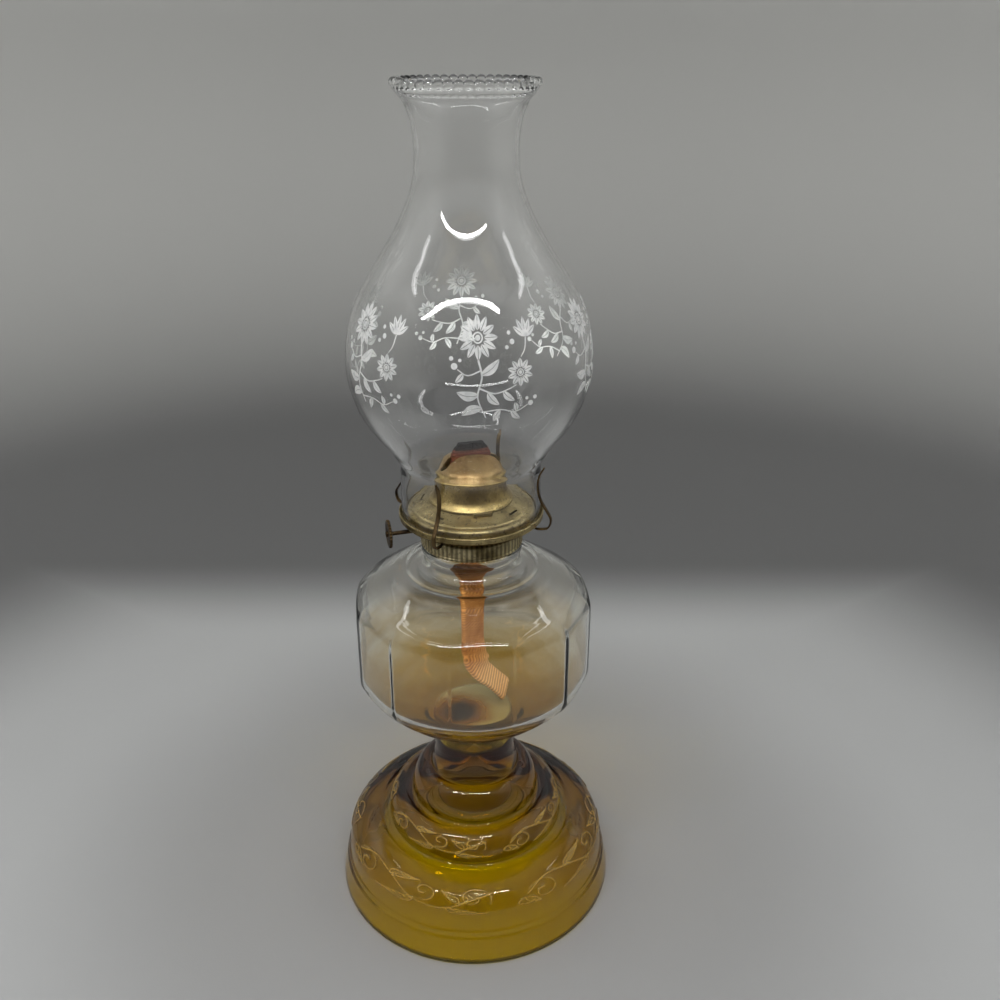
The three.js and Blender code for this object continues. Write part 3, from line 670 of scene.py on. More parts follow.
class Maker(Tree):
    """A Geometry Nodes tree with named inputs. It ends in Realize Instances and Set Material."""

    def __init__(self, name, inputs):
        super().__init__(bpy.data.node_groups.new(name, "GeometryNodeTree"))
        self.sockets = {}
        for label, kind in {"Geometry": "Geometry", **inputs, "Material": "Material"}.items():
            item = self.tree.interface.new_socket(label, in_out="INPUT", socket_type=f"NodeSocket{kind}")
            self.sockets[label] = item.identifier
        self.tree.interface.new_socket("Geometry", in_out="OUTPUT", socket_type="NodeSocketGeometry")
        self.group = self.tree.nodes.new("NodeGroupInput")

    def given(self, label):
        return Value(self, self.group.outputs[label])

    def close(self, geometry):
        solid = self.node("GeometryNodeRealizeInstances", None, [geometry])
        painted = self.node("GeometryNodeSetMaterial", None, {"Geometry": solid, "Material": self.given("Material")})
        output = self.tree.nodes.new("NodeGroupOutput")
        self.tree.links.new(painted.socket, output.inputs[0])
        return self

    def run(self, piece, material, **inputs):
        """Runs the tree on a piece and keeps the result as its plain mesh."""
        modifier = piece.modifiers.new("made", "NODES")
        modifier.node_group = self.tree
        for label, value in {**inputs, "Material": material}.items():
            modifier[self.sockets[label]] = value
        graph = bpy.context.evaluated_depsgraph_get()
        mesh = bpy.data.meshes.new_from_object(piece.evaluated_get(graph), depsgraph=graph)
        piece.modifiers.clear()
        piece.data = mesh
        mesh.polygons.foreach_set("use_smooth", [True] * len(mesh.polygons))
        return piece


def ribs_maker():
    """Pushes the points of a turned piece in, between low and high and beyond a radius, in waves round Z."""
    maker = Maker("ribs", {"Count": "Float", "Depth": "Float", "Low": "Float", "High": "Float", "Fade": "Float",
                           "Beyond": "Float", "Flatness": "Float"})
    here = maker.node("GeometryNodeInputPosition")
    x, y, z = maker.parts(here)
    angle = y.math("ARCTAN2", x)
    radius = (x * x + y * y).math("SQRT")

    def ramp(value, start, width):
        return maker.node("ShaderNodeMapRange", {"interpolation_type": "SMOOTHSTEP"},
                          {"Value": value, "From Min": start, "From Max": start + width})

    fade = maker.given("Fade")
    inside = ramp(z, maker.given("Low"), fade) * (1 - ramp(z, maker.given("High") - fade, fade))
    inside = inside * ramp(radius, maker.given("Beyond"), fade)
    wave = (1 - (angle * maker.given("Count")).math("COSINE")) * 0.5
    push = wave.math("POWER", maker.given("Flatness")) * maker.given("Depth") * inside
    scale = 1 - push / radius
    moved = maker.node("ShaderNodeCombineXYZ", None, [x * scale, y * scale, z])
    return maker.close(maker.node("GeometryNodeSetPosition", None,
                                  {"Geometry": maker.given("Geometry"), "Position": moved}))


ribs = ribs_maker()


def brass_finish(name, light, dark, stain, stain_share, speckle, roughness, grain=500.0, flutes=0):
    """Old brass: a bright ground, darker clouds of tarnish, brown specks and faint lines from the spinning lathe.

    Where there are flutes round Z, their grooves are darkened with painted shade.
    """
    finish = Finish(name)
    here = finish.place()
    clouds = finish.patches(here, 55, 6, 0.62, 0.36, 0.66)
    fine = finish.clouds(here, 420, 4, 0.7)
    specks = finish.patches(here, grain, 3, 0.6, 0.56, 0.7)
    stains = finish.patches(here, 110, 5, 0.7, 0.52, 0.7)
    lines = finish.clouds(finish.place(12, 12, 1800), 1.0, 2)
    ground = finish.layers(light, (clouds, dark), (specks * speckle, colour(70, 52, 30)), (stains * stain_share, stain))
    if flutes:
        # Painted shade in the grooves between the flutes.
        x, y = finish.parts(here, "XY")
        wave = (y.math("ARCTAN2", x) * flutes).math("COSINE")
        ground = finish.mix((1 - finish.step(wave, -0.5, 0.6)) * 0.6, ground, colour(58, 48, 32))
    dull = clouds * 0.12 + specks * (0.25 * speckle) + stains * (0.2 * stain_share) + roughness
    height = fine * 0.5 + lines * 0.35 - specks * (0.4 * speckle)
    return finish.close(finish.surface(
        Base_Color=ground, Metallic=1 - stains * (0.45 * stain_share) - specks * (0.35 * speckle),
        Roughness=dull, Normal=finish.bump(height, 0.22, 0.12 * MM)))


collar_outline = np.concatenate([
    softened([(socket_bore, collar_high.z - socket_depth), (socket_bore + collar_wall, collar_high.z - socket_depth),
              (socket_bore + collar_wall, collar_high.z - collar_wall),
              (collar_radius - 2 * collar_wall, collar_high.z - collar_wall),
              (collar_radius - 1.5 * collar_wall, collar_high.z - 1.5 * collar_wall),
              (collar_radius - 1.5 * collar_wall, collar_low.z)], 0.5 * MM, 2),
    softened([(collar_radius - 1.4 * collar_wall, collar_low.z),
              *near(collar_radius, collar_low.z, (-0.2, 0), (0, 0.5), (-0.1, 1.2), (-0.7, 1.6)),
              (collar_radius, rib_low + 0.5 * MM), *near(collar_radius, rib_high, (0, -0.4), (-0.3, 0.4)),
              (collar_radius - 1.2 * MM, collar_high.z), (socket_bore + 2 * MM, collar_high.z),
              (socket_bore, collar_high.z)], 0.3 * MM, 2),
])
collar = spun("font_collar_brass", collar_outline, collar_rib_count * 10)
# The collar's brass has painted shade in the grooves between its ribs.
collar_brass = brass_finish("collar_brass", colour(206, 192, 150), colour(136, 122, 84), colour(62, 50, 32), 0.5, 0.5,
                            0.3, flutes=collar_rib_count)
ribs.run(collar, collar_brass, Count=float(collar_rib_count), Depth=collar_rib_depth, Low=rib_low, High=rib_high,
         Fade=0.4 * MM, Beyond=collar_radius - 1.2 * MM, Flatness=1.6)
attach(collar, "lamp_base")
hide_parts("font_collar")


def tube(name, outer, inner, low, high, steps=48, spacing=0.3 * MM):
    """A plain disc, ring or tube about Z with its edges eased."""
    return spun(name, softened([(inner, low), (outer, low), (outer, high), (inner, high)], spacing, 1), steps)


gasket_low, gasket_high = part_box("collar_gasket")
gasket = tube("cork_gasket", gasket_high.x, neck_bore, gasket_low.z, gasket_high.z, 96, 0.25 * MM)
cork = Finish("cork")
cork_grain = cork.node("ShaderNodeTexVoronoi", None, {"Vector": cork.place(), "Scale": 900.0}, "Distance")
gasket.data.materials.append(cork.close(cork.surface(
    Base_Color=cork.mix(cork_grain, colour(140, 104, 66), colour(88, 60, 36)), Roughness=0.9,
    Normal=cork.bump(cork_grain, 0.4))))
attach(gasket, "lamp_base")
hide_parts("collar_gasket")


# Burner body: a thread, a flange and a bowl drawn from one sheet of brass, which has darkened.
# The bowl's rim carries the gallery, and its wall is pierced for the shaft's sleeve.
body_low, body_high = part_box("burner_body")
gallery_low, gallery_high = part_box("gallery")
sheet = 0.8 * MM
thread_radius = 16 * MM
thread_pitch = 1.6 * MM
thread_depth = 0.45 * MM
flange_radius = 19.5 * MM
flange_top = collar_high.z + glass_gap + sheet
gallery_radius = gallery_high.x
channel_radius = gallery_radius - sheet - 3.6 * MM
bowl_rim = channel_radius - sheet
thread_turns = [(thread_radius - thread_depth * (k % 2), body_low.z + k * thread_pitch / 2) for k in range(1, 13)]
body_outline = np.concatenate([
    [(thread_radius - sheet - thread_depth, body_low.z)],
    softened([(thread_radius - thread_depth, body_low.z), *thread_turns, (thread_radius, flange_top - sheet),
              (flange_radius, flange_top - sheet)], 0.3 * MM, 1),
    softened([(flange_radius + 0.4 * MM, flange_top - sheet), (flange_radius + 3 * MM, flange_top - 0.6 * sheet),
              (bowl_rim - 4 * MM, body_high.z - 2.4 * sheet), (bowl_rim, body_high.z - sheet),
              (body_high.x - 0.2 * MM, body_high.z - sheet), (body_high.x, body_high.z - sheet / 2),
              (body_high.x - 0.2 * MM, body_high.z), (bowl_rim - sheet, body_high.z),
              (bowl_rim - 4.6 * MM, body_high.z - 1.5 * sheet), (flange_radius, flange_top),
              (thread_radius - sheet - thread_depth, flange_top)], 0.5 * MM, 3),
])
burner_body = spun("burner_body_brass", body_outline, 192)


def ring_maker(name, cut):
    """Sets copies of a tool round Z, each turned to face outwards, and adds them to a piece or cuts them out."""
    maker = Maker(name, {"Tool": "Object", "Count": "Int", "Radius": "Float", "Level": "Float", "Start": "Float"})
    index = maker.node("GeometryNodeInputIndex")
    angle = index / maker.given("Count") * math.tau + maker.given("Start")
    radius = maker.given("Radius")
    place = maker.node("ShaderNodeCombineXYZ", None,
                       [angle.math("COSINE") * radius, angle.math("SINE") * radius, maker.given("Level")])
    points = maker.node("GeometryNodePoints", None, {"Count": maker.given("Count"), "Position": place})
    turn = maker.node("ShaderNodeCombineXYZ", None, {"Z": angle})
    tool = maker.node("GeometryNodeObjectInfo", None, {"Object": maker.given("Tool")}, "Geometry")
    ring = maker.node("GeometryNodeInstanceOnPoints", None, {
        "Points": points, "Instance": tool, "Rotation": maker.node("FunctionNodeEulerToRotation", None, [turn])})
    ring = maker.node("GeometryNodeRealizeInstances", None, [ring])
    base = maker.given("Geometry")
    if cut:
        return maker.close(maker.node("GeometryNodeMeshBoolean", {"operation": "DIFFERENCE", "solver": "EXACT"},
                                      {"Mesh 1": base, "Mesh 2": ring}))
    return maker.close(maker.node("GeometryNodeJoinGeometry", None, {"Geometry": [base, ring]}))


pierced = ring_maker("pierced", True)


def discard(piece):
    bpy.data.objects.remove(piece)


def punch(piece, material, tool, radius=0.0, level=0.0, start=0.0, count=1):
    """Cuts a tool out of a piece, at one or more places round Z, and uses the tool up."""
    pierced.run(piece, material, Tool=tool, Count=count, Radius=radius, Level=level, Start=start)
    discard(tool)


def round_punch(name, radius, reach, steps):
    """A round punch about Z, as a tool for holes."""
    return spun(name, [(0, -reach), (radius, -reach), (radius, reach), (0, reach)], steps)


def crisp(piece, degrees=38):
    """Keeps the edges sharp where sheet was cut, and the rest smooth."""
    piece.data.set_sharp_from_angle(angle=math.radians(degrees))
    return piece


def moved(piece, turn_axis=None, by=(0, 0, 0)):
    """Lays a piece that was turned about Z along another axis, and puts it in place in its mesh."""
    if turn_axis is not None:
        piece.data.transform(Vector((0, 0, 1)).rotation_difference(Vector(turn_axis)).to_matrix().to_4x4())
    for corner in piece.data.vertices:
        corner.co += Vector(by)
    return piece


along_x = (1, 0, 0)
shaft_offset = -6 * MM
shaft_level = (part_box("wick_shaft")[0].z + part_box("wick_shaft")[1].z) / 2
sleeve_low, sleeve_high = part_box("shaft_sleeve")
body_brass = brass_finish("burner_brass", colour(140, 122, 78), colour(84, 70, 42), colour(44, 34, 24), 0.7, 0.6, 0.34)
hole_radius = (sleeve_high.z - sleeve_low.z) / 2 + glass_gap
hole_middle = sleeve_low.x - sleeve_high.x - 22 * MM
punch(burner_body, body_brass, moved(round_punch("shaft_hole", hole_radius, 20 * MM, 32), along_x,
                                     (hole_middle, shaft_offset, shaft_level)))
crisp(burner_body)
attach(burner_body, "burner")
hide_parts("burner_body")


# Gallery: the spun ring that carries the chimney in its channel, with a rolled lip and a raised deck.
# A lug at the front and one at the rear hold the cone, and short slits are cut in the deck.
lip_top = gallery_low.z + sheet + 2.8 * MM
channel_floor = gallery_low.z + sheet
deck_edge = channel_floor + 4 * MM
deck_crown = channel_floor + 6.3 * MM
crown_radius = 29 * MM
cone_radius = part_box("deflector_cone")[1].x
cone_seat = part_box("deflector_cone")[0].z - glass_gap
seat_width = 3 * MM
slit_size = (1.1 * MM, 3.4 * MM, 4 * MM)
slit_radius = 26.9 * MM
slit_turns = (151.5, 160, 221, 306, 313)
lug_size = (1.6 * MM, 10 * MM, 2.3 * MM)


def rounded_block(name, size, corner, sides=3):
    """A block about the origin with rounded edges, as a tool for a ring or a small pressing."""
    piece = meshed(name, [(x * size[0] / 2, y * size[1] / 2, z * size[2] / 2)
                          for x in (-1, 1) for y in (-1, 1) for z in (-1, 1)],
                   [(0, 1, 3, 2), (4, 6, 7, 5), (0, 4, 5, 1), (2, 3, 7, 6), (0, 2, 6, 4), (1, 5, 7, 3)])
    bevel = piece.modifiers.new("edges", "BEVEL")
    bevel.width = corner
    bevel.segments = sides
    graph = bpy.context.evaluated_depsgraph_get()
    piece.data = bpy.data.meshes.new_from_object(piece.evaluated_get(graph), depsgraph=graph)
    piece.modifiers.clear()
    return piece


beset = ring_maker("beset", False)
gallery_outline = np.concatenate([
    softened([(bowl_rim - 0.4 * MM, gallery_low.z),
              *near(gallery_radius, gallery_low.z, (-0.5, 0), (0, 0.5), (-0.25, 1.6)),
              *near(gallery_radius, lip_top, (0, -0.7), (-0.25, 0)), (gallery_radius - sheet, lip_top - 0.1 * MM),
              (gallery_radius - 1.1 * sheet, channel_floor + 0.5 * MM), (gallery_radius - 1.6 * sheet, channel_floor),
              *near(channel_radius, channel_floor, (0.4, 0), (0, 0.4)), (channel_radius - 0.1 * MM, deck_edge),
              (channel_radius - sheet, deck_edge + sheet), *near(0, deck_edge, (32, 1.25), (31.3, 1.0)),
              (30.4 * MM, deck_crown - 0.3 * MM), (crown_radius, deck_crown), (26 * MM, deck_crown + 1.2 * MM),
              (cone_radius + 0.6 * MM, cone_seat - 0.4 * MM), (cone_radius, cone_seat),
              (cone_radius - seat_width, cone_seat)], 0.4 * MM, 2),
    softened([(cone_radius - seat_width, cone_seat - sheet), (cone_radius, cone_seat - sheet),
              (crown_radius, deck_crown - sheet), (channel_radius - 2 * sheet, deck_edge - 0.2 * MM),
              (channel_radius - sheet, deck_edge - sheet), (channel_radius - sheet, gallery_low.z + 0.4 * MM)],
             0.6 * MM, 2),
])
gallery = spun("gallery_brass", gallery_outline, 240)
gallery_brass = brass_finish("gallery_brass", colour(190, 172, 124), colour(138, 122, 82), colour(84, 68, 44), 0.45,
                             0.85, 0.27, 620.0)
for turn in slit_turns:
    slit = rounded_block("slit", slit_size, 0.4 * MM)
    punch(gallery, gallery_brass, slit, slit_radius, deck_crown + 0.8 * MM, math.radians(turn))
lug = rounded_block("lug", lug_size, 0.35 * MM)
beset.run(gallery, gallery_brass, Tool=lug, Count=2, Radius=cone_radius + glass_gap + lug_size[0] / 2,
          Level=gallery_high.z - lug_size[2] / 2, Start=math.radians(90))
discard(lug)
crisp(gallery)
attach(gallery, "burner")
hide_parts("gallery")


# Air plate: the flat brass disc under the cone, pierced all over so that the flame draws evenly.
# The wick tube and the vent pass through it.
plate_low, plate_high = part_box("air_plate")
plate_radius = plate_high.x
plate_wick_hole = (25.2 * MM, 6.2 * MM, 4 * MM)
plate_rings = ((16, 0.5), (22, 0.66), (28, 0.82), (34, 0.94))
plate_hole = 0.85 * MM
plate_turn = 0.1

air_plate = tube("air_plate_brass", plate_radius, 0, plate_low.z, plate_high.z, 144, 0.35 * MM)
for count, share in plate_rings:
    punch(air_plate, body_brass, round_punch("plate_punch", plate_hole, 2 * MM, 12), share * plate_radius, plate_low.z,
          plate_turn, count)
punch(air_plate, body_brass, rounded_block("wick_punch", plate_wick_hole, 1.5 * MM), level=plate_low.z)
vent_low, vent_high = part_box("vent_tube")
vent_radius = (vent_high.x - vent_low.x) / 2
vent_offset = (vent_low.y + vent_high.y) / 2
vent_punch = round_punch("vent_punch", vent_radius + glass_gap, 2 * MM, 24)
punch(air_plate, body_brass, vent_punch, vent_offset, plate_low.z, math.pi / 2)
crisp(air_plate)
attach(air_plate, "burner")
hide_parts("air_plate")


# Deflector cone: spun thin brass, with a flared skirt, a rolled crease and a dome slotted for the flame.
# Years of heat have turned the dome pinkish. The skirt is spotted with tarnish and has two rivet holes.
cone_low, cone_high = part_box("deflector_cone")
cone_height = cone_high.z - cone_low.z
cone_sheet = 0.6 * MM
crease_radius_cone = 18.5 * MM
flame_slot = (32 * MM, 4.5 * MM, 17 * MM)
rivet_hole_radius = 0.75 * MM
rivet_turn = 6.2
cone_shares = ((1, 0), (1.0, 0.02), (0.97, 0.05), (0.925, 0.095), (0.88, 0.165), (0.85, 0.25), (0.83, 0.34),
               (0.818, 0.44), (0.812, 0.53), (0.816, 0.585), (0.826, 0.605), (0.83, 0.63), (0.826, 0.655),
               (0.8, 0.672), (0.782, 0.69), (0.76, 0.735), (0.715, 0.79), (0.64, 0.848), (0.54, 0.9), (0.42, 0.945),
               (0.28, 0.978), (0.14, 0.995), (0, 1))

cone_outside = softened(np.array(cone_shares) * (cone_radius, cone_height) + (0, cone_low.z), 0.35 * MM, 2)
cone_inside = (cone_outside - normals(cone_outside) * cone_sheet)[::-1]
cone_inside[0, 0] = 0
cone_outside[-1, 0] = 0
cone_inside[-1, 1] = cone_low.z
cone = spun("deflector_cone_brass", np.concatenate([cone_inside, cone_outside]), 192)


def heated_brass(name):
    """The cone's brass: olive gold and spotted on the skirt, pinkish over the dome where the flame heats it."""
    finish = Finish(name)
    here = finish.place()
    level, = finish.parts(here, "Z")
    clouds = finish.patches(here, 70, 6, 0.65, 0.38, 0.66)
    fine = finish.clouds(here, 480, 4, 0.7)
    specks = finish.patches(here, 700, 3, 0.6, 0.55, 0.68)
    # Painted glints, bright specks for the skirt's flare.
    painted_flare_glints = finish.patches(here, 900, 2, 0.6, 0.6, 0.68)
    lines = finish.clouds(finish.place(10, 10, 2200), 1.0, 2)
    dome_start = cone_low.z + 0.64 * cone_height
    dome = finish.step(level + (fine - 0.5) * MM, dome_start, dome_start + 3 * MM)
    # Painted highlight: the flared foot of the skirt is painted paler.
    painted_flare_highlight = 1 - finish.step(level, cone_low.z, cone_low.z + 0.24 * cone_height)
    soot = finish.step(level + (clouds - 0.5) * (2 * MM), cone_high.z - 2.5 * MM, cone_high.z + 0.8 * MM)
    # The skirt's flare gets a paler painted highlight and painted glints over its olive gold.
    skirt = finish.layers(colour(198, 172, 110), (clouds, colour(130, 108, 62)), (painted_flare_highlight * 0.6, colour(206, 184, 128)),
                          (specks * (1 - dome) * 0.55, colour(84, 62, 30)),
                          (painted_flare_glints * painted_flare_highlight * 0.6, colour(238, 222, 170)))
    top = finish.mix(clouds, colour(190, 162, 116), colour(150, 122, 84))
    ground = finish.layers(skirt, (dome, top), (soot * 0.45, colour(66, 50, 40)))
    dull = clouds * 0.1 + specks * 0.12 + soot * 0.2 + dome * 0.14 + 0.27
    height = fine * 0.5 + lines * 0.4 - specks * 0.4
    return finish.close(finish.surface(
        Base_Color=ground, Metallic=1 - soot * 0.4 - specks * 0.2, Roughness=dull,
        Normal=finish.bump(height, 0.22, 0.12 * MM)))


cone_brass = heated_brass("cone_brass")
punch(cone, cone_brass, rounded_block("slot_punch", flame_slot, 0.6 * MM), level=cone_high.z)
rivet_punch = moved(round_punch("rivet_punch", rivet_hole_radius, 3 * MM, 20), along_x)
punch(cone, cone_brass, rivet_punch, crease_radius_cone, cone_low.z + 0.62 * cone_height, math.radians(rivet_turn), 2)
crisp(cone)
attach(cone, "burner")
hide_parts("deflector_cone")


# Wick tube and vent: a flat brass tube that guides the wick, windowed for the wheels, and a thin tube beside it.
# Both are soldered into the burner and reach down into the neck of the font.
tube_low, tube_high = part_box("wick_tube")
tube_sheet = 0.6 * MM
wheel_spacing = 7 * MM
wheel_radius = 4.2 * MM
window_size = (1.8 * MM, wheel_radius, 7 * MM)


def swept(name, centres, across, over, sections):
    """A closed body along a path: at each station a ring of points across and over it, with flat ends."""
    centres, across, over = (np.asarray(given, float)[:, None] for given in (centres, across, over))
    rings = centres + sections[..., :1] * across + sections[..., 1:] * over
    stations, sides = rings.shape[:2]
    faces = []
    for k in range(stations - 1):
        faces += ring_faces(k * sides, sides, (k + 1) * sides, sides)
    faces.append(tuple(reversed(range(sides))))
    faces.append(tuple(range((stations - 1) * sides, stations * sides)))
    return meshed(name, rings.reshape(-1, 3), faces)


def flat_section(width, depth, sides=8):
    """The outline of a flat strip or tube with half-round edges."""
    round_end = np.linspace(-math.pi / 2, math.pi / 2, sides)
    reach = (width - depth) / 2
    right = np.stack([reach + depth / 2 * np.cos(round_end), depth / 2 * np.sin(round_end)], 1)
    return np.concatenate([right, -right])


def flat_bar(name, width, depth, levels):
    """A flat upright bar on the axis with half-round edges."""
    count = len(levels)
    return swept(name, [(0, 0, level) for level in levels], [(1, 0, 0)] * count, [(0, 1, 0)] * count,
                 np.repeat(flat_section(width, depth)[None], count, 0))


tube_width = tube_high.x - tube_low.x
tube_depth = tube_high.y - tube_low.y
wick_tube = flat_bar("wick_tube_brass", tube_width, tube_depth, np.linspace(tube_low.z, tube_high.z, 30))
punch(wick_tube, body_brass, flat_bar("tube_bore", tube_width - 2 * tube_sheet, tube_depth - 2 * tube_sheet,
                                      (tube_low.z - MM, tube_high.z + MM)))
for wheel in (-1, 0, 1):
    window = moved(rounded_block("window", window_size, 0.3 * MM, 2),
                   by=(wheel * wheel_spacing, -tube_depth / 2, shaft_level))
    punch(wick_tube, body_brass, window)
crisp(wick_tube)
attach(wick_tube, "burner")
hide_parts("wick_tube")


vent = moved(tube("vent_tube_brass", vent_radius, vent_radius - 0.6 * MM, vent_low.z, vent_high.z),
             by=(0, vent_offset, 0))
vent.data.materials.append(body_brass)
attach(vent, "burner")
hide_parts("vent_tube")


# Wick: a flat woven cotton strip, brown with old kerosene, with a charred black crust at its top.
# Below the burner it twists and curls down into the font's well.
wick_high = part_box("wick")[1].z
wick_width = 22 * MM
wick_thickness = 2.9 * MM
tail_heading = math.radians(-16)
tail_turn = math.radians(45)
tail_roll = math.radians(20)
tail_start = wick_high - 62.5 * MM
tail_end = font_floor + 0.35 * underside_rise
rib_pitch = 1.8 * MM
rib_depth = 0.2 * MM
column_width = 1.9 * MM
crust_depth = 5 * MM
crumb_height, crumb_scale, crumbs_along = 0.75 * MM, 26, 900
# Width share and level of the charred tip, then reach, drop, turn, width and roll shares of the tail
tip_stations = ((0.6, 0), (0.86, -2.4), (0.93, -6), (1, -9))
tail_stations = ((0, 0, 0, 1, 0), (0, 0.07, 0.18, 1, 0), (0, 0.15, 0.67, 1, 0), (0, 0.23, 0.96, 1, 0),
                 (0, 0.5, 1, 1, 0), (0, 0.7, 1, 0.98, 0.1), (0.07, 0.78, 0.98, 0.94, 0.5),
                 (0.22, 0.85, 0.93, 0.88, 0.9), (0.44, 0.91, 0.89, 0.82, 1), (0.64, 0.96, 0.84, 0.78, 1),
                 (0.78, 1, 0.84, 0.76, 1))

wick_stations = [(0, wick_high + level * MM, 0, width, 0) for width, level in tip_stations]
wick_stations += [(reach * well_radius, tail_start - drop * (tail_start - tail_end), turn * tail_turn, width, roll)
                  for reach, drop, turn, width, roll in tail_stations]
# Turns and shares are scaled down while the stations are spaced, so that the strip's own length decides
station_scale = np.array((1, 1, MM, MM, MM))
wick_line = softened(through(wick_stations, 400) * station_scale, 0.3 * MM, 120)
reach, level, turn, width, roll = (wick_line / station_scale).T
wick_centres = np.stack([reach * math.cos(tail_heading), reach * math.sin(tail_heading), level], 1)
wick_along = unit(np.gradient(wick_centres, axis=0))
wick_across = np.stack([np.cos(turn), np.sin(turn), -math.tan(tail_roll) * roll], 1)
wick_across = unit(wick_across - wick_along * (wick_across * wick_along).sum(1, keepdims=True))
wick_over = np.cross(wick_along, wick_across)
wick_length = lengths(wick_centres)
section = softened(np.concatenate([flat_section(1, wick_thickness / wick_width, 10),
                                   flat_section(1, wick_thickness / wick_width, 10)[:1]]), 0.022, 1)[:-1]
section_out = np.roll(section, -1, 0) - np.roll(section, 1, 0)
section_out = unit(np.stack([section_out[:, 1], -section_out[:, 0]], 1))
columns = np.round(section[:, 0] * wick_width / column_width)
wick_sections = []
for place, share in zip(wick_length, width):
    ribs_here = rib_depth * np.cos(math.tau * place / rib_pitch + math.pi * columns)
    crust = np.exp(-(place / crust_depth) ** 2)
    crumbs = np.array([noise.noise(Vector((x * crumb_scale, y * crumb_scale + 7, place * crumbs_along)))
                       for x, y in section]) * crumb_height
    ring = section * (wick_width * share, wick_width)
    wick_sections.append(ring + section_out * (ribs_here * (1 - crust) + crumbs * crust)[:, None])
wick = swept("wick_cotton", wick_centres, wick_across, wick_over, np.array(wick_sections))

wick_map = wick.data.uv_layers.new(name="strip")
station_of = np.arange(len(wick.data.vertices)) // len(section)
side_of = np.arange(len(wick.data.vertices)) % len(section)
loop_corner = np.empty(len(wick.data.loops), int)
wick.data.loops.foreach_get("vertex_index", loop_corner)
wick_uv = np.stack([section[side_of[loop_corner], 0] * wick_width, wick_length[station_of[loop_corner]]], 1)
wick_map.data.foreach_set("uv", wick_uv.ravel())

cotton = Finish("wick_cotton")
strip = cotton.node("ShaderNodeUVMap", {"uv_map": "strip"})
strip_across, strip_along = cotton.parts(strip, "XY")
cotton_clouds = cotton.clouds(cotton.place(), 120, 5, 0.6)
cotton_fine = cotton.clouds(cotton.place(), 1500, 3, 0.7)
rib_wave = (strip_along * (math.tau / rib_pitch)).math("COSINE") * 0.5 + 0.5
yarn = (strip_across * (math.tau / (0.5 * MM))).math("COSINE") * 0.5 + 0.5
place_down = strip_along + (cotton_clouds - 0.5) * (3 * MM)
charred = 1 - cotton.step(place_down, 2.6 * MM, 4.4 * MM)
scorched = 1 - cotton.step(place_down, 9 * MM, 20 * MM)
soaked = cotton.step(place_down, 36 * MM, 50 * MM) * (1 - cotton.step(place_down, 66 * MM, 84 * MM))
tip_light = cotton.step(place_down, 128 * MM, 146 * MM)
wick_colour = cotton.layers(
    colour(228, 158, 84), (cotton.step(cotton_clouds, 0.35, 0.7), colour(200, 130, 62)),
    (tip_light * 0.75, colour(238, 190, 126)), (soaked * 0.6, colour(96, 44, 18)), (scorched, colour(112, 58, 40)),
    ((1 - rib_wave) * 0.55, colour(62, 30, 14)), (charred, colour(24, 21, 20)))
wick.data.materials.append(cotton.close(cotton.surface(
    Base_Color=wick_colour, Roughness=0.92, Specular_IOR_Level=0.25,
    Normal=cotton.bump(cotton_fine * 0.6 + yarn * 0.35 + rib_wave * 0.4, 0.5, 0.25 * MM))))
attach(wick, "wick_strip")
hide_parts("wick")


# Wick raiser: a shaft with three toothed wheels, in a sleeve and a bush, turned by a knurled thumb wheel.
# It is dark with age, and its thumb wheel stands out at the lamp's left.
shaft_low, shaft_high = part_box("wick_shaft")
shaft_radius = (shaft_high.z - shaft_low.z) / 2
thumb_low, thumb_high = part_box("thumb_wheel")
thumb_radius = (thumb_high.z - thumb_low.z) / 2
thumb_middle = (thumb_low.x + thumb_high.x) / 2
thumb_half = 0.7 * MM
wheel_half = 0.6 * MM
running_gap = 0.25 * MM
nub_radius = 1.7 * MM
raiser_place = (0, shaft_offset, shaft_level)

dark_brass = brass_finish("dark_brass", colour(112, 92, 62), colour(46, 34, 26), colour(30, 22, 18), 0.5, 0.5, 0.36)
shaft = moved(spun("wick_shaft_steel", softened([
    (0, shaft_low.x), (shaft_radius * 0.8, shaft_low.x), (shaft_radius, shaft_low.x + 0.4 * MM),
    (shaft_radius, shaft_high.x - 0.4 * MM), (shaft_radius * 0.8, shaft_high.x), (0, shaft_high.x)], 0.5 * MM, 1), 32),
    along_x, raiser_place)
shaft.data.materials.append(dark_brass)
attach(shaft, "wick_raiser")
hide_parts("wick_shaft")

for number, place in enumerate((-1, 0, 1)):
    wheel = tube(f"spur_wheel_{number + 1}_brass", wheel_radius, shaft_radius + running_gap, -wheel_half, wheel_half,
                 120, 0.2 * MM)
    ribs.run(wheel, dark_brass, Count=10.0, Depth=0.8 * MM, Low=-2 * MM, High=2 * MM, Fade=0.3 * MM,
             Beyond=wheel_radius - 1.1 * MM, Flatness=0.7)
    moved(crisp(wheel), along_x, (place * wheel_spacing, shaft_offset, shaft_level))
    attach(wheel, "wick_raiser")
    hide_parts(f"spur_wheel_{number + 1}")

for name, node in (("shaft_sleeve_brass", "shaft_sleeve"), ("shaft_bush_brass", "shaft_bush")):
    low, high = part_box(node)
    bearing = tube(name, (high.z - low.z) / 2, shaft_radius + running_gap, low.x, high.x)
    moved(bearing, along_x, raiser_place)
    bearing.data.materials.append(body_brass)
    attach(bearing, "burner")
    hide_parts(node)

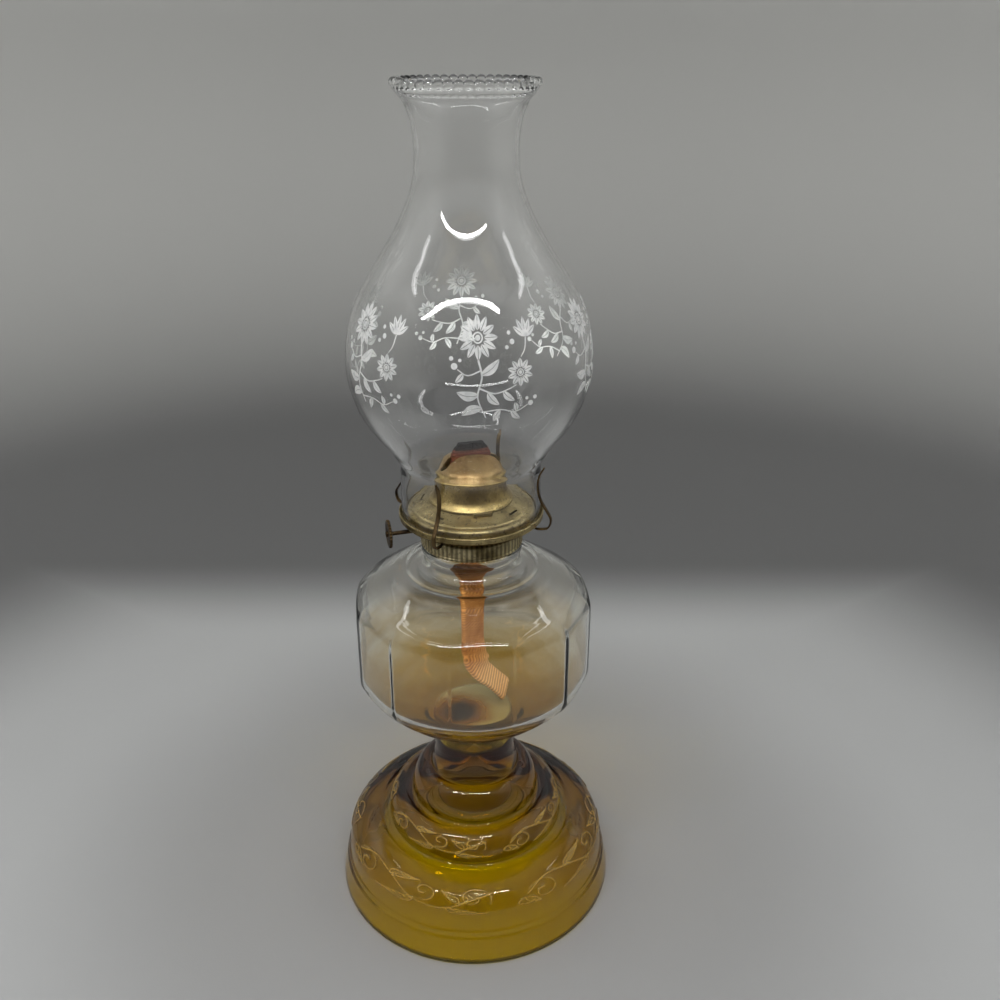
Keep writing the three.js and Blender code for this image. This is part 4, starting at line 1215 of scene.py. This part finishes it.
thumb_face = [
    (0, -1.8 * MM), (nub_radius * 0.7, -1.8 * MM), (nub_radius, -1.3 * MM), (nub_radius, -thumb_half + 0.15 * MM),
    (thumb_radius - 1.9 * MM, -thumb_half + 0.15 * MM), (thumb_radius - 1.5 * MM, -thumb_half),
    (thumb_radius - 0.2 * MM, -thumb_half), (thumb_radius, -thumb_half + 0.2 * MM)]
thumb_outline = softened(thumb_face + [(radius, -level) for radius, level in reversed(thumb_face)], 0.16 * MM, 1)
thumb_outline[[0, -1], 0] = 0
thumb_wheel = spun("thumb_wheel_brass", thumb_outline, 280)
ribs.run(thumb_wheel, dark_brass, Count=28.0, Depth=0.5 * MM, Low=-2 * MM, High=2 * MM, Fade=0.2 * MM,
         Beyond=thumb_radius - 1.1 * MM, Flatness=1.0)
moved(crisp(thumb_wheel, 50), along_x, (thumb_middle, shaft_offset, shaft_level))
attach(thumb_wheel, "wick_raiser")
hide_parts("thumb_wheel")


# Prongs: four spring strips of dark brass, hooked under the bowl's rim, looped out and back against the glass.
# Each tip turns out, so that the chimney slides in.
prong_thickness = 0.9 * MM
prong_width = 2.3 * MM
prong_reach = 6.6 * MM
prong_rise = 35 * MM
prong_flare = 3.2 * MM
prong_root = 2.2 * MM
prong_half = 0.55 * MM
groove_share, groove_width = 0.28, 0.45 * MM
root_level = body_high.z - sheet - glass_gap - prong_half
fitter_radius = 37.2 * MM
touch_radius = fitter_radius + glass_gap + prong_half
loop_radius = gallery_radius + prong_reach
prong_route_shares = ((0.82, 0.047), (1, 0.19), (0.7, 0.31), (0.22, 0.47), (0, 0.63), (0, 0.77))
prong_tip_shares = ((0.33, 0.89), (1, 1))
prongs = {"rear_right": ("prong_rr", 51), "rear_left": ("prong_rl", 141), "front_left": ("prong_fl", 231),
          "front_right": ("prong_fr", 321)}

prong_top = root_level + prong_rise
prong_line = softened(through(np.concatenate([
    [(body_high.x - prong_root, root_level), (gallery_radius + prong_half, root_level)],
    between((touch_radius, root_level), (loop_radius, prong_top), prong_route_shares),
    between((touch_radius, root_level), (touch_radius + prong_flare, prong_top), prong_tip_shares),
]), 160), 0.4 * MM, 2)
prong_section = flat_section(prong_width, prong_thickness, 6)
prong_section[:, 1] *= 1 - groove_share * np.exp(-(prong_section[:, 0] / groove_width) ** 2)
stations = len(prong_line)
taper = np.clip(np.linspace(0, 14, stations), 0.55, 1) * np.clip(np.linspace(14, 0, stations), 0.5, 1)
prong_sections = prong_section[None] * np.stack([taper, np.ones(stations)], 1)[:, None]
for side, (body, angle) in prongs.items():
    out = np.array((math.cos(math.radians(angle)), math.sin(math.radians(angle)), 0))
    level_line = prong_line[:, :1] * out + prong_line[:, 1:] * np.array((0, 0, 1))
    along = unit(np.gradient(level_line, axis=0))
    sideways = np.repeat(np.array([(-out[1], out[0], 0)]), len(level_line), 0)
    prong = swept(f"prong_{side}_brass", level_line, sideways, np.cross(along, sideways), prong_sections)
    prong.data.materials.append(dark_brass)
    crisp(prong, 50)
    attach(prong, body)
    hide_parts(f"prong_{side}")


# Chimney: clear blown glass, a straight fitter under a full bulb and a drawn-in neck that flares to the rim.
# The rim is pressed into a row of beads over a smooth band.
chimney_low, chimney_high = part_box("chimney")
bulb_radius = 61.6 * MM
shoulder_level = chimney_low.z + 31 * MM
rim_bead_radius = 2.3 * MM
rim_level = chimney_high.z - rim_bead_radius
chimney_wall = 1.9 * MM
rim_ring = 32.318 * MM
rim_beads = 46
rim_pinch = 0.9
# Radius over bulb_radius, and height over what stands above the fitter
chimney_shares = ((0.597, 0), (0.64, 0.02), (0.702, 0.055), (0.848, 0.121), (0.943, 0.187), (1, 0.27),
                  (0.989, 0.352), (0.934, 0.435), (0.809, 0.517), (0.65, 0.6), (0.512, 0.682), (0.418, 0.765),
                  (0.396, 0.837), (0.415, 0.905), (0.458, 0.95), (0.49, 0.968), (0.519, 0.974), (0.533, 0.983),
                  (0.537, 0.991))

chimney_side = through(np.array(chimney_shares) * (bulb_radius, rim_level - shoulder_level) + (0, shoulder_level), 300)
chimney_outside = softened(np.concatenate([
    [(fitter_radius - 0.5 * MM, chimney_low.z), (fitter_radius, chimney_low.z + 0.5 * MM)],
    chimney_side]), 1.9 * MM, 1)
chimney_inside = (chimney_outside - normals(chimney_outside) * chimney_wall)[::-1]
chimney_inside = chimney_inside[chimney_inside[:, 1] < rim_level - 3 * MM]
chimney_inside[-1, 1] = chimney_low.z
rim_arc = arc((rim_ring, rim_level), (rim_bead_radius, rim_bead_radius), -42, 226, 18)
chimney_outside = chimney_outside[chimney_outside[:, 1] < rim_arc[0, 1] - 0.4 * MM]
chimney_outline = np.concatenate([chimney_outside, rim_arc, softened(chimney_inside, 2.6 * MM, 1)])
first_rim_row = len(chimney_outside)


def chimney_form(row, angles):
    radius, height = chimney_outline[row]
    turn = row - first_rim_row
    if not 0 <= turn < len(rim_arc):
        return radius, height
    edge = min(turn, len(rim_arc) - 1 - turn) / 4
    from_bead = np.abs((angles * rim_beads / math.tau + 0.5) % 1 - 0.5) * 2
    bead = np.sqrt(np.clip(1 - (rim_pinch * from_bead) ** 2, 0, 1))
    size = 1 - (1 - bead) * min(edge, 1)
    return rim_ring + (radius - rim_ring) * size, rim_level + (height - rim_level) * size


rim_rows = np.arange(len(chimney_outline)) - first_rim_row
chimney_counts = rim_beads * np.where((rim_rows >= 0) & (rim_rows < len(rim_arc)), 10, 5)
chimney = spun("chimney_glass", chimney_outline, chimney_counts, chimney_form)
chimney.data.materials.append(glass_finish("chimney_glass", (0.93, 0.97, 0.93, 1), 12.0, (0.95, 0.96, 0.95, 1), 0.03,
                                           38, rim_level - rim_bead_radius))
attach(chimney, "glass_chimney")
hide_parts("chimney")


# Print on the chimney: a band of white enamel round the bulb, of daisies on leafy stems with sprigs between them.
# It is a thin raised film, fired on to the outside of the glass.
print_repeats = 6
print_middle = 343 * MM
print_lift = 0.02 * MM
print_thickness = 0.05 * MM
print_turn = math.radians(-92)


def leaf_bands(base, tip, width, lean, cut=0.12):
    """The two halves of a leaf or petal, each between a line near the spine and the outer edge."""
    base, tip = np.array(base, float), np.array(tip, float)
    along = tip - base
    side = np.array((along[1], -along[0])) / np.linalg.norm(along)
    t = np.linspace(0, 1, 14)[:, None]
    spine = base + along * t + side * lean * np.sin(math.pi * t)
    half = width / 2 * np.sin(math.pi * t ** 0.85) ** 0.8
    vein = np.minimum(cut, half * 0.4)
    return [(spine + side * vein, spine + side * half), (spine - side * half, spine - side * vein)]


def stem_band(points, width):
    line = through(points, 10 * len(points))
    half = normals(line) * width / 2 * np.linspace(1, 0.55, len(line))[:, None]
    return [(line - half, line + half)]


def ring_band(centre, inner, outer, count=22):
    angles = np.linspace(0, math.tau, count)
    circle = np.stack([np.cos(angles), np.sin(angles)], 1)
    return [(np.array(centre) + circle * inner, np.array(centre) + circle * outer)]


def daisy(centre, size, petals, turn=0.0):
    bands = ring_band(centre, 0.0, 0.13 * size) + ring_band(centre, 0.19 * size, 0.26 * size)
    for k in range(petals):
        angle = math.tau * k / petals + turn
        out = np.array((math.cos(angle), math.sin(angle)))
        bands += leaf_bands(centre + out * 0.32 * size, centre + out * size, 0.44 * size * math.tau / petals * 1.35,
                            0, 0.14)
    return bands


def spray():
    """One repeat of the print, in millimetres along and up, about the middle of the band."""
    bands = daisy(np.array((-9.0, 13.0)), 9.6, 12)
    bands += daisy(np.array((10.5, -3.0)), 6.4, 10, 0.3)
    for points, width in (([(-9, 3.6), (-7.6, -4), (-9.6, -13), (-6, -23)], 0.95),
                          ([(-8.6, -9), (-2, -11.5), (4.5, -10), (8.2, -8.4)], 0.8),
                          ([(-7, -20), (1, -19.4), (8, -21), (14, -18.4)], 0.7),
                          ([(-8, -1), (-14, -3), (-18.6, -0.4)], 0.7)):
        bands += stem_band(points, width)
    for base, tip, width, lean in (
            ((-7.8, -3), (0.6, 3.6), 4.2, 0.9), ((-9.2, -12), (-19, -10.6), 4.6, -1.1),
            ((-7.6, -18), (-17, -21.6), 4.4, 1.0), ((-5.2, -11), (0.2, -17), 3.6, 0.7),
            ((2, -10.8), (7.4, -15.6), 3.2, 0.6), ((0.6, -19.6), (-2.4, -25.2), 2.8, 0.4),
            ((6, -20.6), (10.6, -25), 2.8, 0.5), ((8.4, -20.8), (7.4, -16.6), 2.4, 0.3),
            ((-16, -2.2), (-19.6, -6.2), 2.6, -0.3)):
        bands += leaf_bands(base, tip, width, lean)
    for centre, size in (((15.4, -17.8), 1.3), ((17.6, -15.2), 1.0), ((13.4, -15.2), 0.8), ((-20, 1.0), 1.5),
                         ((-21.4, 4.4), 1.0), ((-17.4, 3.6), 0.8), ((4.6, 8.4), 0.9), ((7.4, 10.6), 1.2),
                         ((6.2, 14.4), 0.9)):
        bands += ring_band(centre, 0.0, size, 14)
    for k in range(5):
        angle = math.radians(20 + 34 * k)
        tip = np.array((14.6 + 6.4 * math.cos(angle), 14 + 6.4 * math.sin(angle)))
        bands += leaf_bands((14.6, 12.2), tip, 2.6, 0)
    bands += stem_band([(14.6, 12), (13.4, 7), (11.2, 3.8)], 0.7)
    return bands


def on_chimney(flat, lift):
    """Places flat points, in millimetres, on the outside of the bulb at angle 0."""
    flat = np.asarray(flat) * MM
    levels = flat[:, 1] + print_middle
    order = np.argsort(chimney_side[:, 1])
    radii = np.interp(levels, chimney_side[order, 1], chimney_side[order, 0]) + lift
    angles = flat[:, 0] / bulb_radius
    return np.stack([radii * np.cos(angles), radii * np.sin(angles), levels], 1)


print_corners, print_faces = [], []
for first, second in spray():
    count = len(first)
    start = sum(len(corners) for corners in print_corners)
    for lift in (print_lift, print_lift + print_thickness):
        print_corners += [on_chimney(first, lift), on_chimney(second, lift)]
    low_a, low_b, high_a, high_b = (start + k * count for k in range(4))
    for k in range(count - 1):
        print_faces += [(high_a + k, high_b + k, high_b + k + 1, high_a + k + 1),
                        (low_a + k, low_a + k + 1, low_b + k + 1, low_b + k),
                        (low_a + k, high_a + k, high_a + k + 1, low_a + k + 1),
                        (low_b + k, low_b + k + 1, high_b + k + 1, high_b + k)]
    for k in (0, count - 1):
        end = (low_a + k, low_b + k, high_b + k, high_a + k)
        print_faces.append(end if k == 0 else end[::-1])
print_tool = meshed("print_spray", np.concatenate(print_corners), print_faces, False)

enamel = Finish("print_enamel")
enamel_grain = enamel.clouds(enamel.place(), 700, 4, 0.7)
enamel_thin = enamel.patches(enamel.place(), 160, 5, 0.7, 0.35, 0.75)
enamel_white = enamel.close(enamel.surface(
    Base_Color=enamel.mix(enamel_thin, colour(250, 250, 248), colour(226, 228, 228)),
    Roughness=enamel_grain * 0.3 + 0.4, Alpha=1 - enamel_thin * 0.15, Normal=enamel.bump(enamel_grain, 0.25, 0.1 * MM)))
enamel_print = meshed("chimney_print", [], [])
beset.run(enamel_print, enamel_white, Tool=print_tool, Count=print_repeats, Radius=0.0, Level=0.0, Start=print_turn)
discard(print_tool)
enamel_print.data.polygons.foreach_set("use_smooth", [False] * len(enamel_print.data.polygons))
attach(enamel_print, "glass_chimney")
